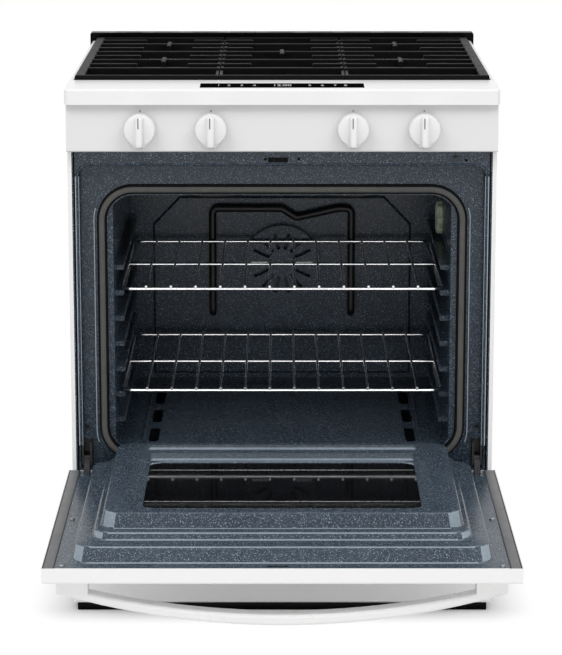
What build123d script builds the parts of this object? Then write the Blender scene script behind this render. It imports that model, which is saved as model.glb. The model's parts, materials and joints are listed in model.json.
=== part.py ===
from build123d import *
import os

# Freestanding gas range with its oven door lying open, in millimetres.
# The origin is on the floor, at mid width, in the plane of the front frame's face.
# X runs to the right as the user faces the range, Y to the back and Z up.

# Sheet and clearances
SHEET = 2.0
FIT = 0.3
RUN = 0.05

# Casing
BODY_WIDTH = 746.0
BODY_DEPTH = 680.0
COOKTOP_HEIGHT = 942.0
LEG_HEIGHT = 14.0
SIDE_FLANGE = 7.0
RAIL_WIDTH = 26.0
RAIL_HEIGHT = 30.0
RAIL_FRONT = 20.0
REAR_BAR_DEPTH = 8.0
LEG_FOOT_RADIUS = 14.0
LEG_FOOT_HEIGHT = 8.0
LEG_COLLAR_RADIUS = 10.0
LEG_STEM_RADIUS = 5.0
LEG_STEM_RISE = 16.0
LEG_FRONT_Y = 48.0
LEG_REAR_INSET = 48.0

# Cooktop
COOKTOP_LAP = 2.0
RIM_HEIGHT = 27.0
RIM_OVERHANG = 28.0
RIM_LIP = 11.0
RIM_CORNER = 8.0
RIM_EDGE = 4.0
WELL_FRONT = 88.0
WELL_SIDE_MARGIN = 7.5
WELL_BACK_MARGIN = 8.0
WELL_DROP = 1.0
TRIM_LAP = 6.0
TRIM_DEPTH = 25.0
TRIM_RISE = 16.0
TRIM_EDGE = 4.0
TRIM_SLOTS = 9
TRIM_SLOT_LENGTH = 52.0
TRIM_SLOT_WIDTH = 7.0
TRIM_SLOT_PITCH = 76.0
GLASS_WIDTH = 284.0
GLASS_FRONT = -8.0
GLASS_DEPTH = 52.0
GLASS_THICK = 3.0
GLASS_PROUD = 0.4
BOARD_INSET = 6.0
BOARD_THICK = 12.0

# Grates
GRATE_MARGIN = 2.5
GRATE_RISE = 8.0
GRATE_SPLIT = 112.0
GRATE_SPLIT_GAP = 2.0
BAR_HEIGHT = 14.0
BAR_WIDTH = 8.0
SIDE_BAR_WIDTH = 16.0
SPLIT_BAR_WIDTH = 5.0
SPLIT_BAR_DROP = 4.0
GUSSET = 14.0
BAR_BEVEL = 1.5
FINGER_LENGTH = 62.0
BURNER_GAP = 46.0
CENTRE_GAP = 56.0
GRATE_FOOT = 14.0

# Burners
BURNER_X = 218.0
BURNER_FRONT_Y = 310.0
BURNER_REAR_INSET = 111.0
BURNER_LARGE = 52.0
BURNER_MEDIUM = 47.0
BURNER_SMALL = 39.0
HEAD_HEIGHT = 9.0
VENTURI_RADIUS = 14.0
VENTURI_DROP = 30.0
CAP_INSET = 9.0
CAP_THICK = 5.0
CAP_EDGE = 1.5
SPARK_RADIUS = 3.0
SPARK_HEIGHT = 14.0
SPARK_GAP = 8.0

# Control panel, knobs and valves
PANEL_HEIGHT = 83.0
PANEL_TOP_DEPTH = 15.0
PANEL_BOTTOM_DEPTH = 22.0
PANEL_EDGE = 2.0
KNOB_INNER_X = 122.5
KNOB_OUTER_X = 245.0
KNOB_DROP = 41.0
KNOB_RADIUS = 28.0
KNOB_SKIRT = 18.0
KNOB_GRIP_WIDTH = 15.0
KNOB_GRIP_REACH = 14.0
KNOB_GRIP_INSET = 2.0
KNOB_TIP_REACH = 2.5
KNOB_TIP_WIDTH = 6.0
KNOB_TIP_LENGTH = 9.0
KNOB_EDGE = 2.5
KNOB_PUSH = 6.0
KNOB_GAP = 4.0
KNOB_WALL = 6.0
STEM_RADIUS = 4.0
STEM_PANEL_GAP = 2.0
STEM_IN_VALVE = 12.0
VALVE_FRONT = 8.0
VALVE_DEPTH = 38.0
VALVE_WIDTH = 26.0
VALVE_HEIGHT = 28.0
PIPE_RADIUS = 9.0
PIPE_BEND = 40.0
PIPE_SIDE_INSET = 36.0
PIPE_REAR_INSET = 55.0
REGULATOR_RADIUS = 28.0
REGULATOR_HEIGHT = 50.0
REGULATOR_Z = 300.0
REGULATOR_LUG = 18.0
INLET_RADIUS = 9.2
INLET_DEPTH = 18.0
INLET_WALL = 5.8
INLET_INSET = 6.0

# Front frame
FRAME_BOTTOM = 232.0
RECESS_DEPTH = 24.0
RECESS_SIDE = 8.0
RECESS_TOP_BAND = 28.0
RECESS_BOTTOM_BAND = 26.0
RECESS_RADIUS = 22.0
RECESS_STEP = 4.0
RECESS_STEP_DEPTH = 3.0

# Oven
OVEN_SIDE_SPACE = 76.0
OVEN_BACK_SPACE = 160.0
OVEN_TOP_SPACE = 72.0
OVEN_FLOOR_RISE = 56.0
WALL_FLANGE = 6.0
OPENING_SIDE = 8.0
OPENING_HEAD = 12.0
OPENING_SILL = 2.0
OPENING_RADIUS = 45.0
BOX_DEPTH = 52.0
BOX_LIP = 14.0
GASKET_OFFSET = 2.0
GASKET_WIDTH = 17.0
GASKET_EDGE = 5.0
FLOOR_THICK = 2.5
FLOOR_FRONT = 44.0
FLOOR_SLOT_SIDE = 65.0
FLOOR_SLOT_WIDTH = 18.0
FLOOR_SLOT_LENGTH = 94.0
FLOOR_SLOT_FIRST = 106.0
FLOOR_SLOT_PITCH = 129.0
FLOOR_SLOTS = 3
FLOOR_BEAD_SIDE = 47.0
FLOOR_BEAD_RADIUS = 4.0
FLOOR_BEAD_LENGTH = 370.0
FLOOR_BEAD_MARGIN = 6.0
INSULATION_SIDE = 20.0
INSULATION_TOP = 32.0
INSULATION_BACK = 24.0
EMBOSS_SIDE = 45.0
EMBOSS_SHOULDER_WIDTH = 52.0
EMBOSS_SHOULDER_DROP = 55.0
EMBOSS_BOTTOM_GAP = 12.0
EMBOSS_TOP_GAP = 105.0
EMBOSS_DEPTH = 6.0
EMBOSS_EDGE = 4.0

# Racks and their guides
GUIDE_FIRST = 48.0
GUIDE_LAMP_GAP = 10.0
GUIDE_COUNT = 7
GUIDE_WIDTH = 16.0
GUIDE_HEIGHT = 9.0
GUIDE_EDGE = 3.0
GUIDE_FRONT = 62.0
GUIDE_BACK_GAP = 30.0
LOWER_RACK_LEVEL = 1
UPPER_RACK_LEVEL = 5
RACK_SIDE_GAP = 7.3
RACK_FRONT = 58.0
RACK_BACK_GAP = 38.0
RACK_FRAME_RADIUS = 3.2
RACK_WIRE_RADIUS = 2.2
RACK_WIRES = 12
RACK_WIRE_MARGIN = 45.0
RACK_CORNER = 22.0
RACK_WELD = 0.5
RACK_WIRE_LEAD = 4.0

# Burners, lamp, probe and fan inside the oven
BAKE_TUBE_RADIUS = 9.0
BAKE_RISE = 26.0
BAKE_HALF = 120.0
BAKE_FRONT = 110.0
BAKE_END_GAP = 120.0
BAKE_BEND = 40.0
BROIL_TUBE_RADIUS = 7.0
BROIL_DROP = 36.0
BROIL_OUTER = 182.0
BROIL_INNER = 64.0
BROIL_FRONT = 160.0
BROIL_TURN_GAP = 120.0
BROIL_END_GAP = 90.0
BROIL_BEND = 55.0
IGNITER_LENGTH = 70.0
IGNITER_WIDTH = 12.0
IGNITER_HEIGHT = 14.0
IGNITER_Y = 306.0
ELEMENT_RADIUS = 7.0
ELEMENT_HALF = 135.0
ELEMENT_DROP = 21.0
ELEMENT_HEIGHT = 209.0
ELEMENT_STANDOFF = 16.0
ELEMENT_DIP = 18.0
ELEMENT_DIP_X = 28.0
ELEMENT_RISE_X = 108.0
ELEMENT_BEND = 11.0
LAMP_Y = 300.0
LAMP_DROP = 105.0
LAMP_RADIUS = 30.0
LAMP_LENS = 10.0
LAMP_EDGE = 4.5
LAMP_NECK = 18.0
LAMP_SOCKET = 28.0
PROBE_X = 200.0
PROBE_DROP = 60.0
PROBE_RADIUS = 3.0
PROBE_LENGTH = 90.0
PROBE_FLANGE_RADIUS = 10.0
PROBE_FLANGE = 3.0
FAN_DROP = 107.0
COVER_RADIUS = 74.0
COVER_DEPTH = 22.0
COVER_SLOTS = 14
COVER_SLOT_LENGTH = 34.0
COVER_SLOT_WIDTH = 7.0
COVER_SLOT_RING = 44.0
FAN_RADIUS = 60.0
FAN_BLADES = 6
FAN_BLADE_WIDTH = 14.0
FAN_BLADE_THICK = 2.0
FAN_HUB_RADIUS = 11.0
FAN_GAP = 3.0
SHAFT_RADIUS = 3.0
SHAFT_IN_MOTOR = 40.0
SHAFT_CLEAR = 9.0
MOTOR_RADIUS = 34.0
MOTOR_LENGTH = 58.0

# Door, in its open pose
DOOR_LAP = 6.5
DOOR_THICK = 26.0
DOOR_BACK = -2.0
DOOR_GAP = 6.0
DOOR_TOP_GAP = 6.0
PIVOT_Y = 12.0
PIVOT_RISE = 41.0
LINER_MARGIN = 19.5
PLUG_BACK = -8.0
STEP_RISES = (19.5, 9.5, 24.0)
STEP_BASE_SIDES = (25.0, 55.0, 66.0)
STEP_TOP_SIDES = (28.0, 57.0, 70.0)
STEP_BASE_INSETS = (25.0, 82.0, 115.0)
STEP_TOP_INSETS = (51.0, 94.0, 121.0)
STEP_RADII = (34.0, 28.0, 24.0)
WINDOW_WIDTH = 456.0
WINDOW_INSET = 149.0
WINDOW_BACK_MARGIN = 122.0
WINDOW_RADIUS = 10.0
GLASS_LAP = 12.0
PANE_THICK = 4.0
BEAD_WIDTH = 462.0
BEAD_SETBACK = 68.0
BEAD_RADIUS = 6.0
BEAD_RISE = 3.0
THIN_BEAD_WIDTH = 486.0
THIN_BEAD_SETBACK = 19.0
THIN_BEAD_RADIUS = 3.0
THIN_BEAD_RISE = 1.5
OUTER_WINDOW_WIDTH = 500.0
OUTER_WINDOW_INSET = 120.0
OUTER_WINDOW_DEPTH = 300.0
SKIN_EDGE = 4.0
HANDLE_SIDE = 21.5
HANDLE_INSET = 33.0
HANDLE_DEPTH = 28.0
HANDLE_REACH = 76.0
HANDLE_BAR = 18.0
HANDLE_END = 23.0
HANDLE_POST = 50.0
HANDLE_POST_DROP = 22.0
HANDLE_EDGE = 5.0

# Door hinges, latch and switch
HINGE_INSET = 26.0
ARM_WIDTH = 10.0
ARM_SIDE_GAP = 0.5
ARM_LENGTH = 110.0
ARM_HEIGHT = 16.0
ARM_HUB_RADIUS = 9.0
ARM_SLOT_GAP = 1.5
EAR_THICK = 3.5
EAR_RADIUS = 10.0
EAR_RISE = 32.0
PIN_RADIUS = 5.0
RECEIVER_DEPTH = 34.0
RECEIVER_WIDTH = 24.0
RECEIVER_MARGIN = 8.0
HINGE_SLOT_GAP = 1.0
NOTCH_WIDTH = 20.0
NOTCH_DEPTH = 20.0
LATCH_X = -7.0
LATCH_DROP = 17.5
LATCH_WIDTH = 14.0
LATCH_HEIGHT = 6.0
LATCH_LENGTH = 56.0
LATCH_SETBACK = 2.0
LATCH_GUIDE_WALL = 6.0
LATCH_SLOT_WIDTH = 35.0
LATCH_SLOT_HEIGHT = 9.0
STRIKE_GAP = 3.0
SWITCH_INSET = 71.0
SWITCH_DROP = 14.0
SWITCH_RADIUS = 4.0
SWITCH_REACH = 10.0
SWITCH_TAIL = 14.0

# Drawer
DRAWER_BOTTOM = 14.0
DRAWER_FRONT_THICK = 22.0
DRAWER_FRONT_GAP = 2.0
DRAWER_DOOR_GAP = 3.0
DRAWER_EDGE = 5.0
DRAWER_BOX_HEIGHT = 146.0
DRAWER_BOX_DEPTH = 500.0
DRAWER_BOX_FLOOR = 24.0
RUNNER_WIDTH = 6.0
RUNNER_THICK = 4.0
RUNNER_RISE = 26.0
RUNNER_GAP = 1.5
DRAWER_LIP_THICK = 3.0
SCOOP_WIDTH = 220.0
SCOOP_DEPTH = 15.0

# Rear panel
LOUVRE_ROWS = 5
LOUVRE_COLUMNS = 6
LOUVRE_LENGTH = 60.0
LOUVRE_WIDTH = 8.0
LOUVRE_X_PITCH = 90.0
LOUVRE_Z_PITCH = 30.0
LOUVRE_DROP = 195.0
BAY_WIDTH = 80.0
BAY_RISE = 45.0
PANEL_SEAM = 0.5
GLAND_INSET = 73.0
GLAND_Z = 110.0
GLAND_RADIUS = 13.0
GLAND_NECK = 9.0
GLAND_BORE = 5.0
GLAND_DEPTH = 12.0

# Places worked out from the sizes above
HALF_BODY = BODY_WIDTH / 2
HALF_COOKTOP = HALF_BODY + COOKTOP_LAP
HALF_TRIM = HALF_BODY + TRIM_LAP
HALF_DOOR = HALF_BODY + DOOR_LAP
HALF_LINER = HALF_DOOR - LINER_MARGIN
HALF_HANDLE = HALF_DOOR - HANDLE_SIDE
HINGE_X = HALF_BODY - HINGE_INSET
RIM_BOTTOM = COOKTOP_HEIGHT - RIM_HEIGHT
COOKTOP_BACK = BODY_DEPTH - TRIM_DEPTH
WELL_HALF = HALF_COOKTOP - WELL_SIDE_MARGIN
WELL_BACK = COOKTOP_BACK - WELL_BACK_MARGIN
BURNER_REAR_Y = COOKTOP_BACK - BURNER_REAR_INSET
WELL_FLOOR = RIM_BOTTOM + 2 * SHEET
GRATE_TOP = COOKTOP_HEIGHT + GRATE_RISE
GRATE_HALF = WELL_HALF - GRATE_MARGIN
GRATE_FRONT = WELL_FRONT + GRATE_MARGIN
GRATE_BACK = WELL_BACK - GRATE_MARGIN
FRAME_TOP = RIM_BOTTOM - PANEL_HEIGHT
FRAME_HALF = HALF_BODY - SIDE_FLANGE
FRAME_DEPTH = RECESS_DEPTH + SHEET
RECESS_HALF = FRAME_HALF - RECESS_SIDE
RECESS_TOP = FRAME_TOP - RECESS_TOP_BAND
RECESS_BOTTOM = FRAME_BOTTOM + RECESS_BOTTOM_BAND
OVEN_HALF = HALF_BODY - OVEN_SIDE_SPACE
OVEN_BACK = BODY_DEPTH - OVEN_BACK_SPACE
OVEN_FLOOR = FRAME_BOTTOM + OVEN_FLOOR_RISE
OVEN_CEILING = FRAME_TOP - OVEN_TOP_SPACE
BOX_BOTTOM = OVEN_FLOOR - BOX_DEPTH
OPENING_HALF = OVEN_HALF + OPENING_SIDE
OPENING_TOP = OVEN_CEILING - OPENING_HEAD
OPENING_BOTTOM = OVEN_FLOOR - OPENING_SILL
LAMP_Z = OVEN_CEILING - LAMP_DROP
GUIDE_PITCH = (LAMP_Z - LAMP_RADIUS - GUIDE_LAMP_GAP - OVEN_FLOOR - GUIDE_FIRST) / (GUIDE_COUNT - 1)
PROBE_Z = OVEN_CEILING - PROBE_DROP
PIVOT_Z = FRAME_BOTTOM + PIVOT_RISE
KNOB_Z = RIM_BOTTOM - KNOB_DROP
KNOB_XS = {
    "far_left": -KNOB_OUTER_X,
    "left": -KNOB_INNER_X,
    "right": KNOB_INNER_X,
    "far_right": KNOB_OUTER_X,
}
PANEL_LEAN = (PANEL_BOTTOM_DEPTH - PANEL_TOP_DEPTH) * KNOB_DROP / PANEL_HEIGHT
KNOB_BACK = -(PANEL_TOP_DEPTH + PANEL_LEAN) - KNOB_PUSH - KNOB_GAP
KNOB_FRONT = KNOB_BACK - KNOB_SKIRT - KNOB_GRIP_REACH
STEM_FRONT = KNOB_FRONT + KNOB_WALL
STEM_BACK = VALVE_FRONT + STEM_IN_VALVE
VALVE_BACK = VALVE_FRONT + VALVE_DEPTH
PIPE_Y = VALVE_BACK + PIPE_RADIUS + FIT
PIPE_X = HALF_BODY - PIPE_SIDE_INSET
PIPE_REAR_Y = BODY_DEPTH - PIPE_REAR_INSET
BAY_TOP = REGULATOR_Z + BAY_RISE
GLAND_X = -(HALF_BODY - GLAND_INSET)
EMBOSS_FRONT = OVEN_BACK - EMBOSS_DEPTH
EMBOSS_HALF = OVEN_HALF - EMBOSS_SIDE
EMBOSS_SHOULDER_HALF = EMBOSS_HALF - EMBOSS_SHOULDER_WIDTH
EMBOSS_TOP = OVEN_CEILING - EMBOSS_TOP_GAP
EMBOSS_SHOULDER = EMBOSS_TOP - EMBOSS_SHOULDER_DROP
ELEMENT_TOP = EMBOSS_TOP - ELEMENT_DROP
ELEMENT_BOTTOM = ELEMENT_TOP - ELEMENT_HEIGHT
FAN_Z = ELEMENT_TOP - FAN_DROP
COVER_FRONT = EMBOSS_FRONT - COVER_DEPTH
RACK_HALF = OVEN_HALF - RACK_SIDE_GAP - RACK_FRAME_RADIUS
RACK_BACK = OVEN_BACK - RACK_BACK_GAP
RACK_WIRE_PITCH = 2 * (RACK_HALF - RACK_WIRE_MARGIN) / (RACK_WIRES - 1)
BROIL_TURN = OVEN_BACK - BROIL_TURN_GAP
FLANGE_Z = PIVOT_Z - PIVOT_Y - DOOR_GAP
SKIN_Z = FLANGE_Z - DOOR_THICK
DOOR_FRONT = PIVOT_Y + PIVOT_Z - FRAME_TOP + DOOR_TOP_GAP
STEP_TOPS = (
    FLANGE_Z + STEP_RISES[0],
    FLANGE_Z + STEP_RISES[0] + STEP_RISES[1],
    FLANGE_Z + sum(STEP_RISES),
)
PLATEAU_Z = STEP_TOPS[2]
CLOSED_TERRACE_Y = PIVOT_Y + STEP_TOPS[0] - PIVOT_Z
GASKET_DEPTH = RECESS_DEPTH - CLOSED_TERRACE_Y - 2 * FIT
HANDLE_Y = DOOR_FRONT + HANDLE_INSET
LATCH_Z = FRAME_TOP - LATCH_DROP
SWITCH_X = HALF_BODY - SWITCH_INSET
SWITCH_Z = FRAME_TOP - SWITCH_DROP
DRAWER_TOP = SKIN_Z - DRAWER_DOOR_GAP
DRAWER_FRONT = -DRAWER_FRONT_GAP - DRAWER_FRONT_THICK
RAIL_IN = HALF_BODY - SHEET - RAIL_WIDTH
RUNNER_IN = RAIL_IN - RUNNER_WIDTH
RUNNER_TOP = LEG_HEIGHT + RUNNER_RISE
DRAWER_BOX_HALF = RUNNER_IN - RUNNER_GAP
LEFT_AND_RIGHT = (("left", -1), ("right", 1))
TURN = {"x": (0, 90, 0), "y": (90, 0, 0), "z": (0, 0, 0)}


def span(side, near, far):
    """Limits along X of a piece between two distances from mid width, on one side."""
    return (side * near, side * far) if side > 0 else (side * far, side * near)


def slab(xs, ys, zs, mode=Mode.ADD):
    """A block between limits along each axis."""
    centre = tuple((low + high) / 2 for low, high in (xs, ys, zs))
    sizes = [high - low for low, high in (xs, ys, zs)]
    with Locations(centre):
        Box(*sizes, mode=mode)


def rod(axis, centre, radius, length, mode=Mode.ADD):
    """A round bar along one axis, centred on a point."""
    with Locations(centre):
        Cylinder(radius, length, rotation=TURN[axis], mode=mode)


def rod_along_y(x, z, ys, radius, mode=Mode.ADD):
    """A round bar between two places along Y."""
    rod("y", (x, (ys[0] + ys[1]) / 2, z), radius, ys[1] - ys[0], mode)


def rod_upright(x, y, zs, radius, mode=Mode.ADD):
    """A round bar between two heights."""
    rod("z", (x, y, (zs[0] + zs[1]) / 2), radius, zs[1] - zs[0], mode)


def tube(points, bend, radius):
    """A round tube along straight runs that are joined by arcs."""
    with BuildLine() as path:
        FilletPolyline(*points, radius=bend)
    with BuildSketch(Plane(origin=path.line @ 0, z_dir=path.line % 0)) as ring:
        Circle(radius)
    sweep(sections=ring.sketch, path=path.line)


def rounded_face(height, width, front, back, radius):
    """A level rectangle with round corners between two places along Y."""
    with BuildSketch(Plane.XY.offset(height)) as outline:
        with Locations((0, (front + back) / 2)):
            RectangleRounded(width, back - front, radius)
    return outline.sketch


def upright_face(y, half, bottom, top, radius):
    """A rectangle with round corners that stands in the plane Y = y."""
    with BuildSketch(Plane.XZ.offset(-y)) as outline:
        with Locations((0, (bottom + top) / 2)):
            RectangleRounded(2 * half, top - bottom, radius)
    return outline.sketch


def save(builder, name):
    """Labels a finished piece and writes its file."""
    builder.part.label = name
    export_step(builder.part, f"parts/{name}.step")


os.makedirs("parts", exist_ok=True)

# Casing
for side_name, side in LEFT_AND_RIGHT:
    with BuildPart() as side_panel:
        slab(span(side, HALF_BODY - SHEET, HALF_BODY), (0, BODY_DEPTH - SHEET), (LEG_HEIGHT, RIM_BOTTOM))
        slab(span(side, FRAME_HALF, HALF_BODY - SHEET), (0, SHEET), (LEG_HEIGHT, RIM_BOTTOM))
    save(side_panel, f"side_panel_{side_name}")

with BuildPart() as rear_panel:
    sheet_span = (BODY_DEPTH - SHEET, BODY_DEPTH)
    slab((-HALF_BODY, HALF_BODY), sheet_span, (BAY_TOP, RIM_BOTTOM))
    slab((-HALF_BODY, HALF_BODY - BAY_WIDTH), sheet_span, (LEG_HEIGHT, BAY_TOP - PANEL_SEAM))
    with BuildSketch(Plane.XZ.offset(-BODY_DEPTH)):
        with Locations((0, RIM_BOTTOM - LOUVRE_DROP)):
            with GridLocations(LOUVRE_X_PITCH, LOUVRE_Z_PITCH, LOUVRE_COLUMNS, LOUVRE_ROWS):
                SlotOverall(LOUVRE_LENGTH, LOUVRE_WIDTH)
        with Locations((GLAND_X, GLAND_Z)):
            Circle(GLAND_NECK + FIT)
    extrude(amount=SHEET, mode=Mode.SUBTRACT)
save(rear_panel, "rear_panel")

with BuildPart() as cord_gland:
    gland_front = BODY_DEPTH - SHEET - GLAND_DEPTH
    rod_along_y(GLAND_X, GLAND_Z, (gland_front, BODY_DEPTH - SHEET), GLAND_RADIUS)
    rod_along_y(GLAND_X, GLAND_Z, (gland_front, BODY_DEPTH), GLAND_NECK)
    rod_along_y(GLAND_X, GLAND_Z, (gland_front, BODY_DEPTH), GLAND_BORE, Mode.SUBTRACT)
save(cord_gland, "cord_gland")

LEG_SPOTS = [
    (side * (RAIL_IN + RAIL_WIDTH / 2), y)
    for side in (-1, 1)
    for y in (LEG_FRONT_Y, BODY_DEPTH - LEG_REAR_INSET)
]

with BuildPart() as base_frame:
    rail_top = LEG_HEIGHT + RAIL_HEIGHT
    bar_front = BODY_DEPTH - SHEET - REAR_BAR_DEPTH
    rail_ys = (RAIL_FRONT, bar_front - FIT)
    for side in (-1, 1):
        slab(span(side, RAIL_IN, RAIL_IN + RAIL_WIDTH), rail_ys, (LEG_HEIGHT, rail_top))
        slab(
            span(side, RAIL_IN + SHEET, RAIL_IN + RAIL_WIDTH),
            rail_ys,
            (LEG_HEIGHT + SHEET, rail_top - SHEET),
            Mode.SUBTRACT,
        )
        slab(span(side, RUNNER_IN, RAIL_IN), rail_ys, (RUNNER_TOP - RUNNER_THICK, RUNNER_TOP))
    for x, y in LEG_SPOTS:
        rod_upright(x, y, (LEG_HEIGHT, LEG_HEIGHT + SHEET), LEG_STEM_RADIUS + FIT, Mode.SUBTRACT)
    slab(
        (-HALF_BODY + SHEET, HALF_BODY - SHEET),
        (bar_front, BODY_DEPTH - SHEET),
        (LEG_HEIGHT, rail_top),
    )
save(base_frame, "base_frame")

with BuildPart() as leveling_legs:
    for x, y in LEG_SPOTS:
        rod_upright(x, y, (0, LEG_FOOT_HEIGHT), LEG_FOOT_RADIUS)
        rod_upright(x, y, (LEG_FOOT_HEIGHT, LEG_HEIGHT), LEG_COLLAR_RADIUS)
        rod_upright(x, y, (LEG_HEIGHT, LEG_HEIGHT + LEG_STEM_RISE), LEG_STEM_RADIUS)
save(leveling_legs, "leveling_legs")

# Front frame with the recess that the closed door fills
EAR_HALF = ARM_WIDTH / 2 + ARM_SIDE_GAP + EAR_THICK

with BuildPart() as front_frame:
    slab((-FRAME_HALF, FRAME_HALF), (0, FRAME_DEPTH), (FRAME_BOTTOM, FRAME_TOP))
    recess = upright_face(0, RECESS_HALF, RECESS_BOTTOM, RECESS_TOP, RECESS_RADIUS)
    extrude(recess, amount=-RECESS_DEPTH, mode=Mode.SUBTRACT)
    recess_edge = upright_face(
        0,
        RECESS_HALF + RECESS_STEP,
        RECESS_BOTTOM - RECESS_STEP,
        RECESS_TOP + RECESS_STEP,
        RECESS_RADIUS + RECESS_STEP,
    )
    extrude(recess_edge, amount=-RECESS_STEP_DEPTH, mode=Mode.SUBTRACT)
    opening = upright_face(0, OPENING_HALF, OPENING_BOTTOM, OPENING_TOP, OPENING_RADIUS)
    extrude(opening, amount=-FRAME_DEPTH, mode=Mode.SUBTRACT)
    slab(
        (-RECESS_HALF, RECESS_HALF),
        (SHEET, FRAME_DEPTH),
        (RECESS_TOP + RECESS_STEP + SHEET, FRAME_TOP - SHEET),
        Mode.SUBTRACT,
    )
    slab(
        (-RECESS_HALF, RECESS_HALF),
        (SHEET, FRAME_DEPTH),
        (FRAME_BOTTOM + SHEET, RECESS_BOTTOM - RECESS_STEP - SHEET),
        Mode.SUBTRACT,
    )
    guide_half = LATCH_WIDTH / 2 + LATCH_GUIDE_WALL
    slab(
        (LATCH_X - guide_half, LATCH_X + guide_half),
        (SHEET, FRAME_DEPTH),
        (RECESS_TOP + RECESS_STEP, FRAME_TOP),
    )
    slab(
        (LATCH_X - LATCH_WIDTH / 2 - FIT, LATCH_X + LATCH_WIDTH / 2 + FIT),
        (0, FRAME_DEPTH),
        (LATCH_Z - LATCH_HEIGHT / 2 - FIT, LATCH_Z + LATCH_HEIGHT / 2 + FIT),
        Mode.SUBTRACT,
    )
    slab(
        (LATCH_X - LATCH_SLOT_WIDTH / 2, LATCH_X + LATCH_SLOT_WIDTH / 2),
        (0, SHEET),
        (LATCH_Z - LATCH_SLOT_HEIGHT / 2, LATCH_Z + LATCH_SLOT_HEIGHT / 2),
        Mode.SUBTRACT,
    )
    rod_along_y(SWITCH_X, SWITCH_Z, (0, SHEET), SWITCH_RADIUS + RUN, Mode.SUBTRACT)
    for side in (-1, 1):
        slab(
            span(side, HINGE_X - EAR_HALF - HINGE_SLOT_GAP, HINGE_X + EAR_HALF + HINGE_SLOT_GAP),
            (0, FRAME_DEPTH),
            (RECESS_BOTTOM, PIVOT_Z + EAR_RISE + HINGE_SLOT_GAP),
            Mode.SUBTRACT,
        )
save(front_frame, "front_frame")

with BuildPart() as hinge_receivers:
    for side in (-1, 1):
        slab(
            span(side, HINGE_X - RECEIVER_WIDTH / 2, HINGE_X + RECEIVER_WIDTH / 2),
            (FRAME_DEPTH, FRAME_DEPTH + RECEIVER_DEPTH),
            (PIVOT_Z - EAR_RADIUS - RECEIVER_MARGIN, PIVOT_Z + EAR_RISE + RECEIVER_MARGIN),
        )
        for ear in (-1, 1):
            ear_x = side * HINGE_X + ear * (EAR_HALF - EAR_THICK / 2)
            slab(
                (ear_x - EAR_THICK / 2, ear_x + EAR_THICK / 2),
                (PIVOT_Y - EAR_RADIUS, FRAME_DEPTH),
                (PIVOT_Z - EAR_RADIUS, PIVOT_Z + EAR_RISE),
            )
        rod("x", (side * HINGE_X, PIVOT_Y, PIVOT_Z), PIN_RADIUS, 2 * EAR_HALF)
save(hinge_receivers, "hinge_receivers")

with BuildPart() as oven_gasket:
    gasket_half = OPENING_HALF + GASKET_OFFSET
    gasket_low = OPENING_BOTTOM - GASKET_OFFSET
    gasket_high = OPENING_TOP + GASKET_OFFSET
    gasket_radius = OPENING_RADIUS + GASKET_OFFSET
    gasket_outline = upright_face(
        RECESS_DEPTH,
        gasket_half + GASKET_WIDTH,
        gasket_low - GASKET_WIDTH,
        gasket_high + GASKET_WIDTH,
        gasket_radius + GASKET_WIDTH,
    )
    extrude(gasket_outline, amount=GASKET_DEPTH)
    gasket_hole = upright_face(RECESS_DEPTH, gasket_half, gasket_low, gasket_high, gasket_radius)
    extrude(gasket_hole, amount=GASKET_DEPTH, mode=Mode.SUBTRACT)
    fillet(oven_gasket.faces().sort_by(Axis.Y)[0].edges(), GASKET_EDGE)
save(oven_gasket, "oven_gasket")

with BuildPart() as door_switch:
    rod_along_y(SWITCH_X, SWITCH_Z, (-SWITCH_REACH, SWITCH_TAIL), SWITCH_RADIUS)
save(door_switch, "door_switch")

with BuildPart() as door_latch:
    slab(
        (LATCH_X - LATCH_WIDTH / 2, LATCH_X + LATCH_WIDTH / 2),
        (LATCH_SETBACK, LATCH_SETBACK + LATCH_LENGTH),
        (LATCH_Z - LATCH_HEIGHT / 2, LATCH_Z + LATCH_HEIGHT / 2),
    )
save(door_latch, "door_latch")

# Oven liner
GUIDE_TOPS = [OVEN_FLOOR + GUIDE_FIRST + GUIDE_PITCH * level for level in range(GUIDE_COUNT)]

for side_name, side in LEFT_AND_RIGHT:
    with BuildPart() as oven_wall:
        for top in GUIDE_TOPS:
            slab(
                span(side, OVEN_HALF - GUIDE_WIDTH, OVEN_HALF + SHEET),
                (GUIDE_FRONT, OVEN_BACK - GUIDE_BACK_GAP),
                (top - GUIDE_HEIGHT, top),
            )
        inner_edges = oven_wall.edges().filter_by(Axis.Y).group_by(Axis.X)[-1 if side < 0 else 0]
        fillet(inner_edges, GUIDE_EDGE)
        slab(
            span(side, OVEN_HALF, OVEN_HALF + SHEET),
            (FRAME_DEPTH, OVEN_BACK),
            (OVEN_FLOOR, OVEN_CEILING),
        )
        slab(
            span(side, OVEN_HALF, OPENING_HALF + WALL_FLANGE),
            (FRAME_DEPTH, FRAME_DEPTH + SHEET),
            (OVEN_FLOOR, OVEN_CEILING),
        )
        if side > 0:
            rod("x", (OVEN_HALF, LAMP_Y, LAMP_Z), LAMP_NECK + FIT, 4 * SHEET, Mode.SUBTRACT)
    save(oven_wall, f"oven_wall_{side_name}")

with BuildPart() as oven_ceiling:
    slab(
        (-OVEN_HALF - SHEET, OVEN_HALF + SHEET),
        (FRAME_DEPTH, OVEN_BACK + SHEET),
        (OVEN_CEILING, OVEN_CEILING + SHEET),
    )
save(oven_ceiling, "oven_ceiling")

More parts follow.
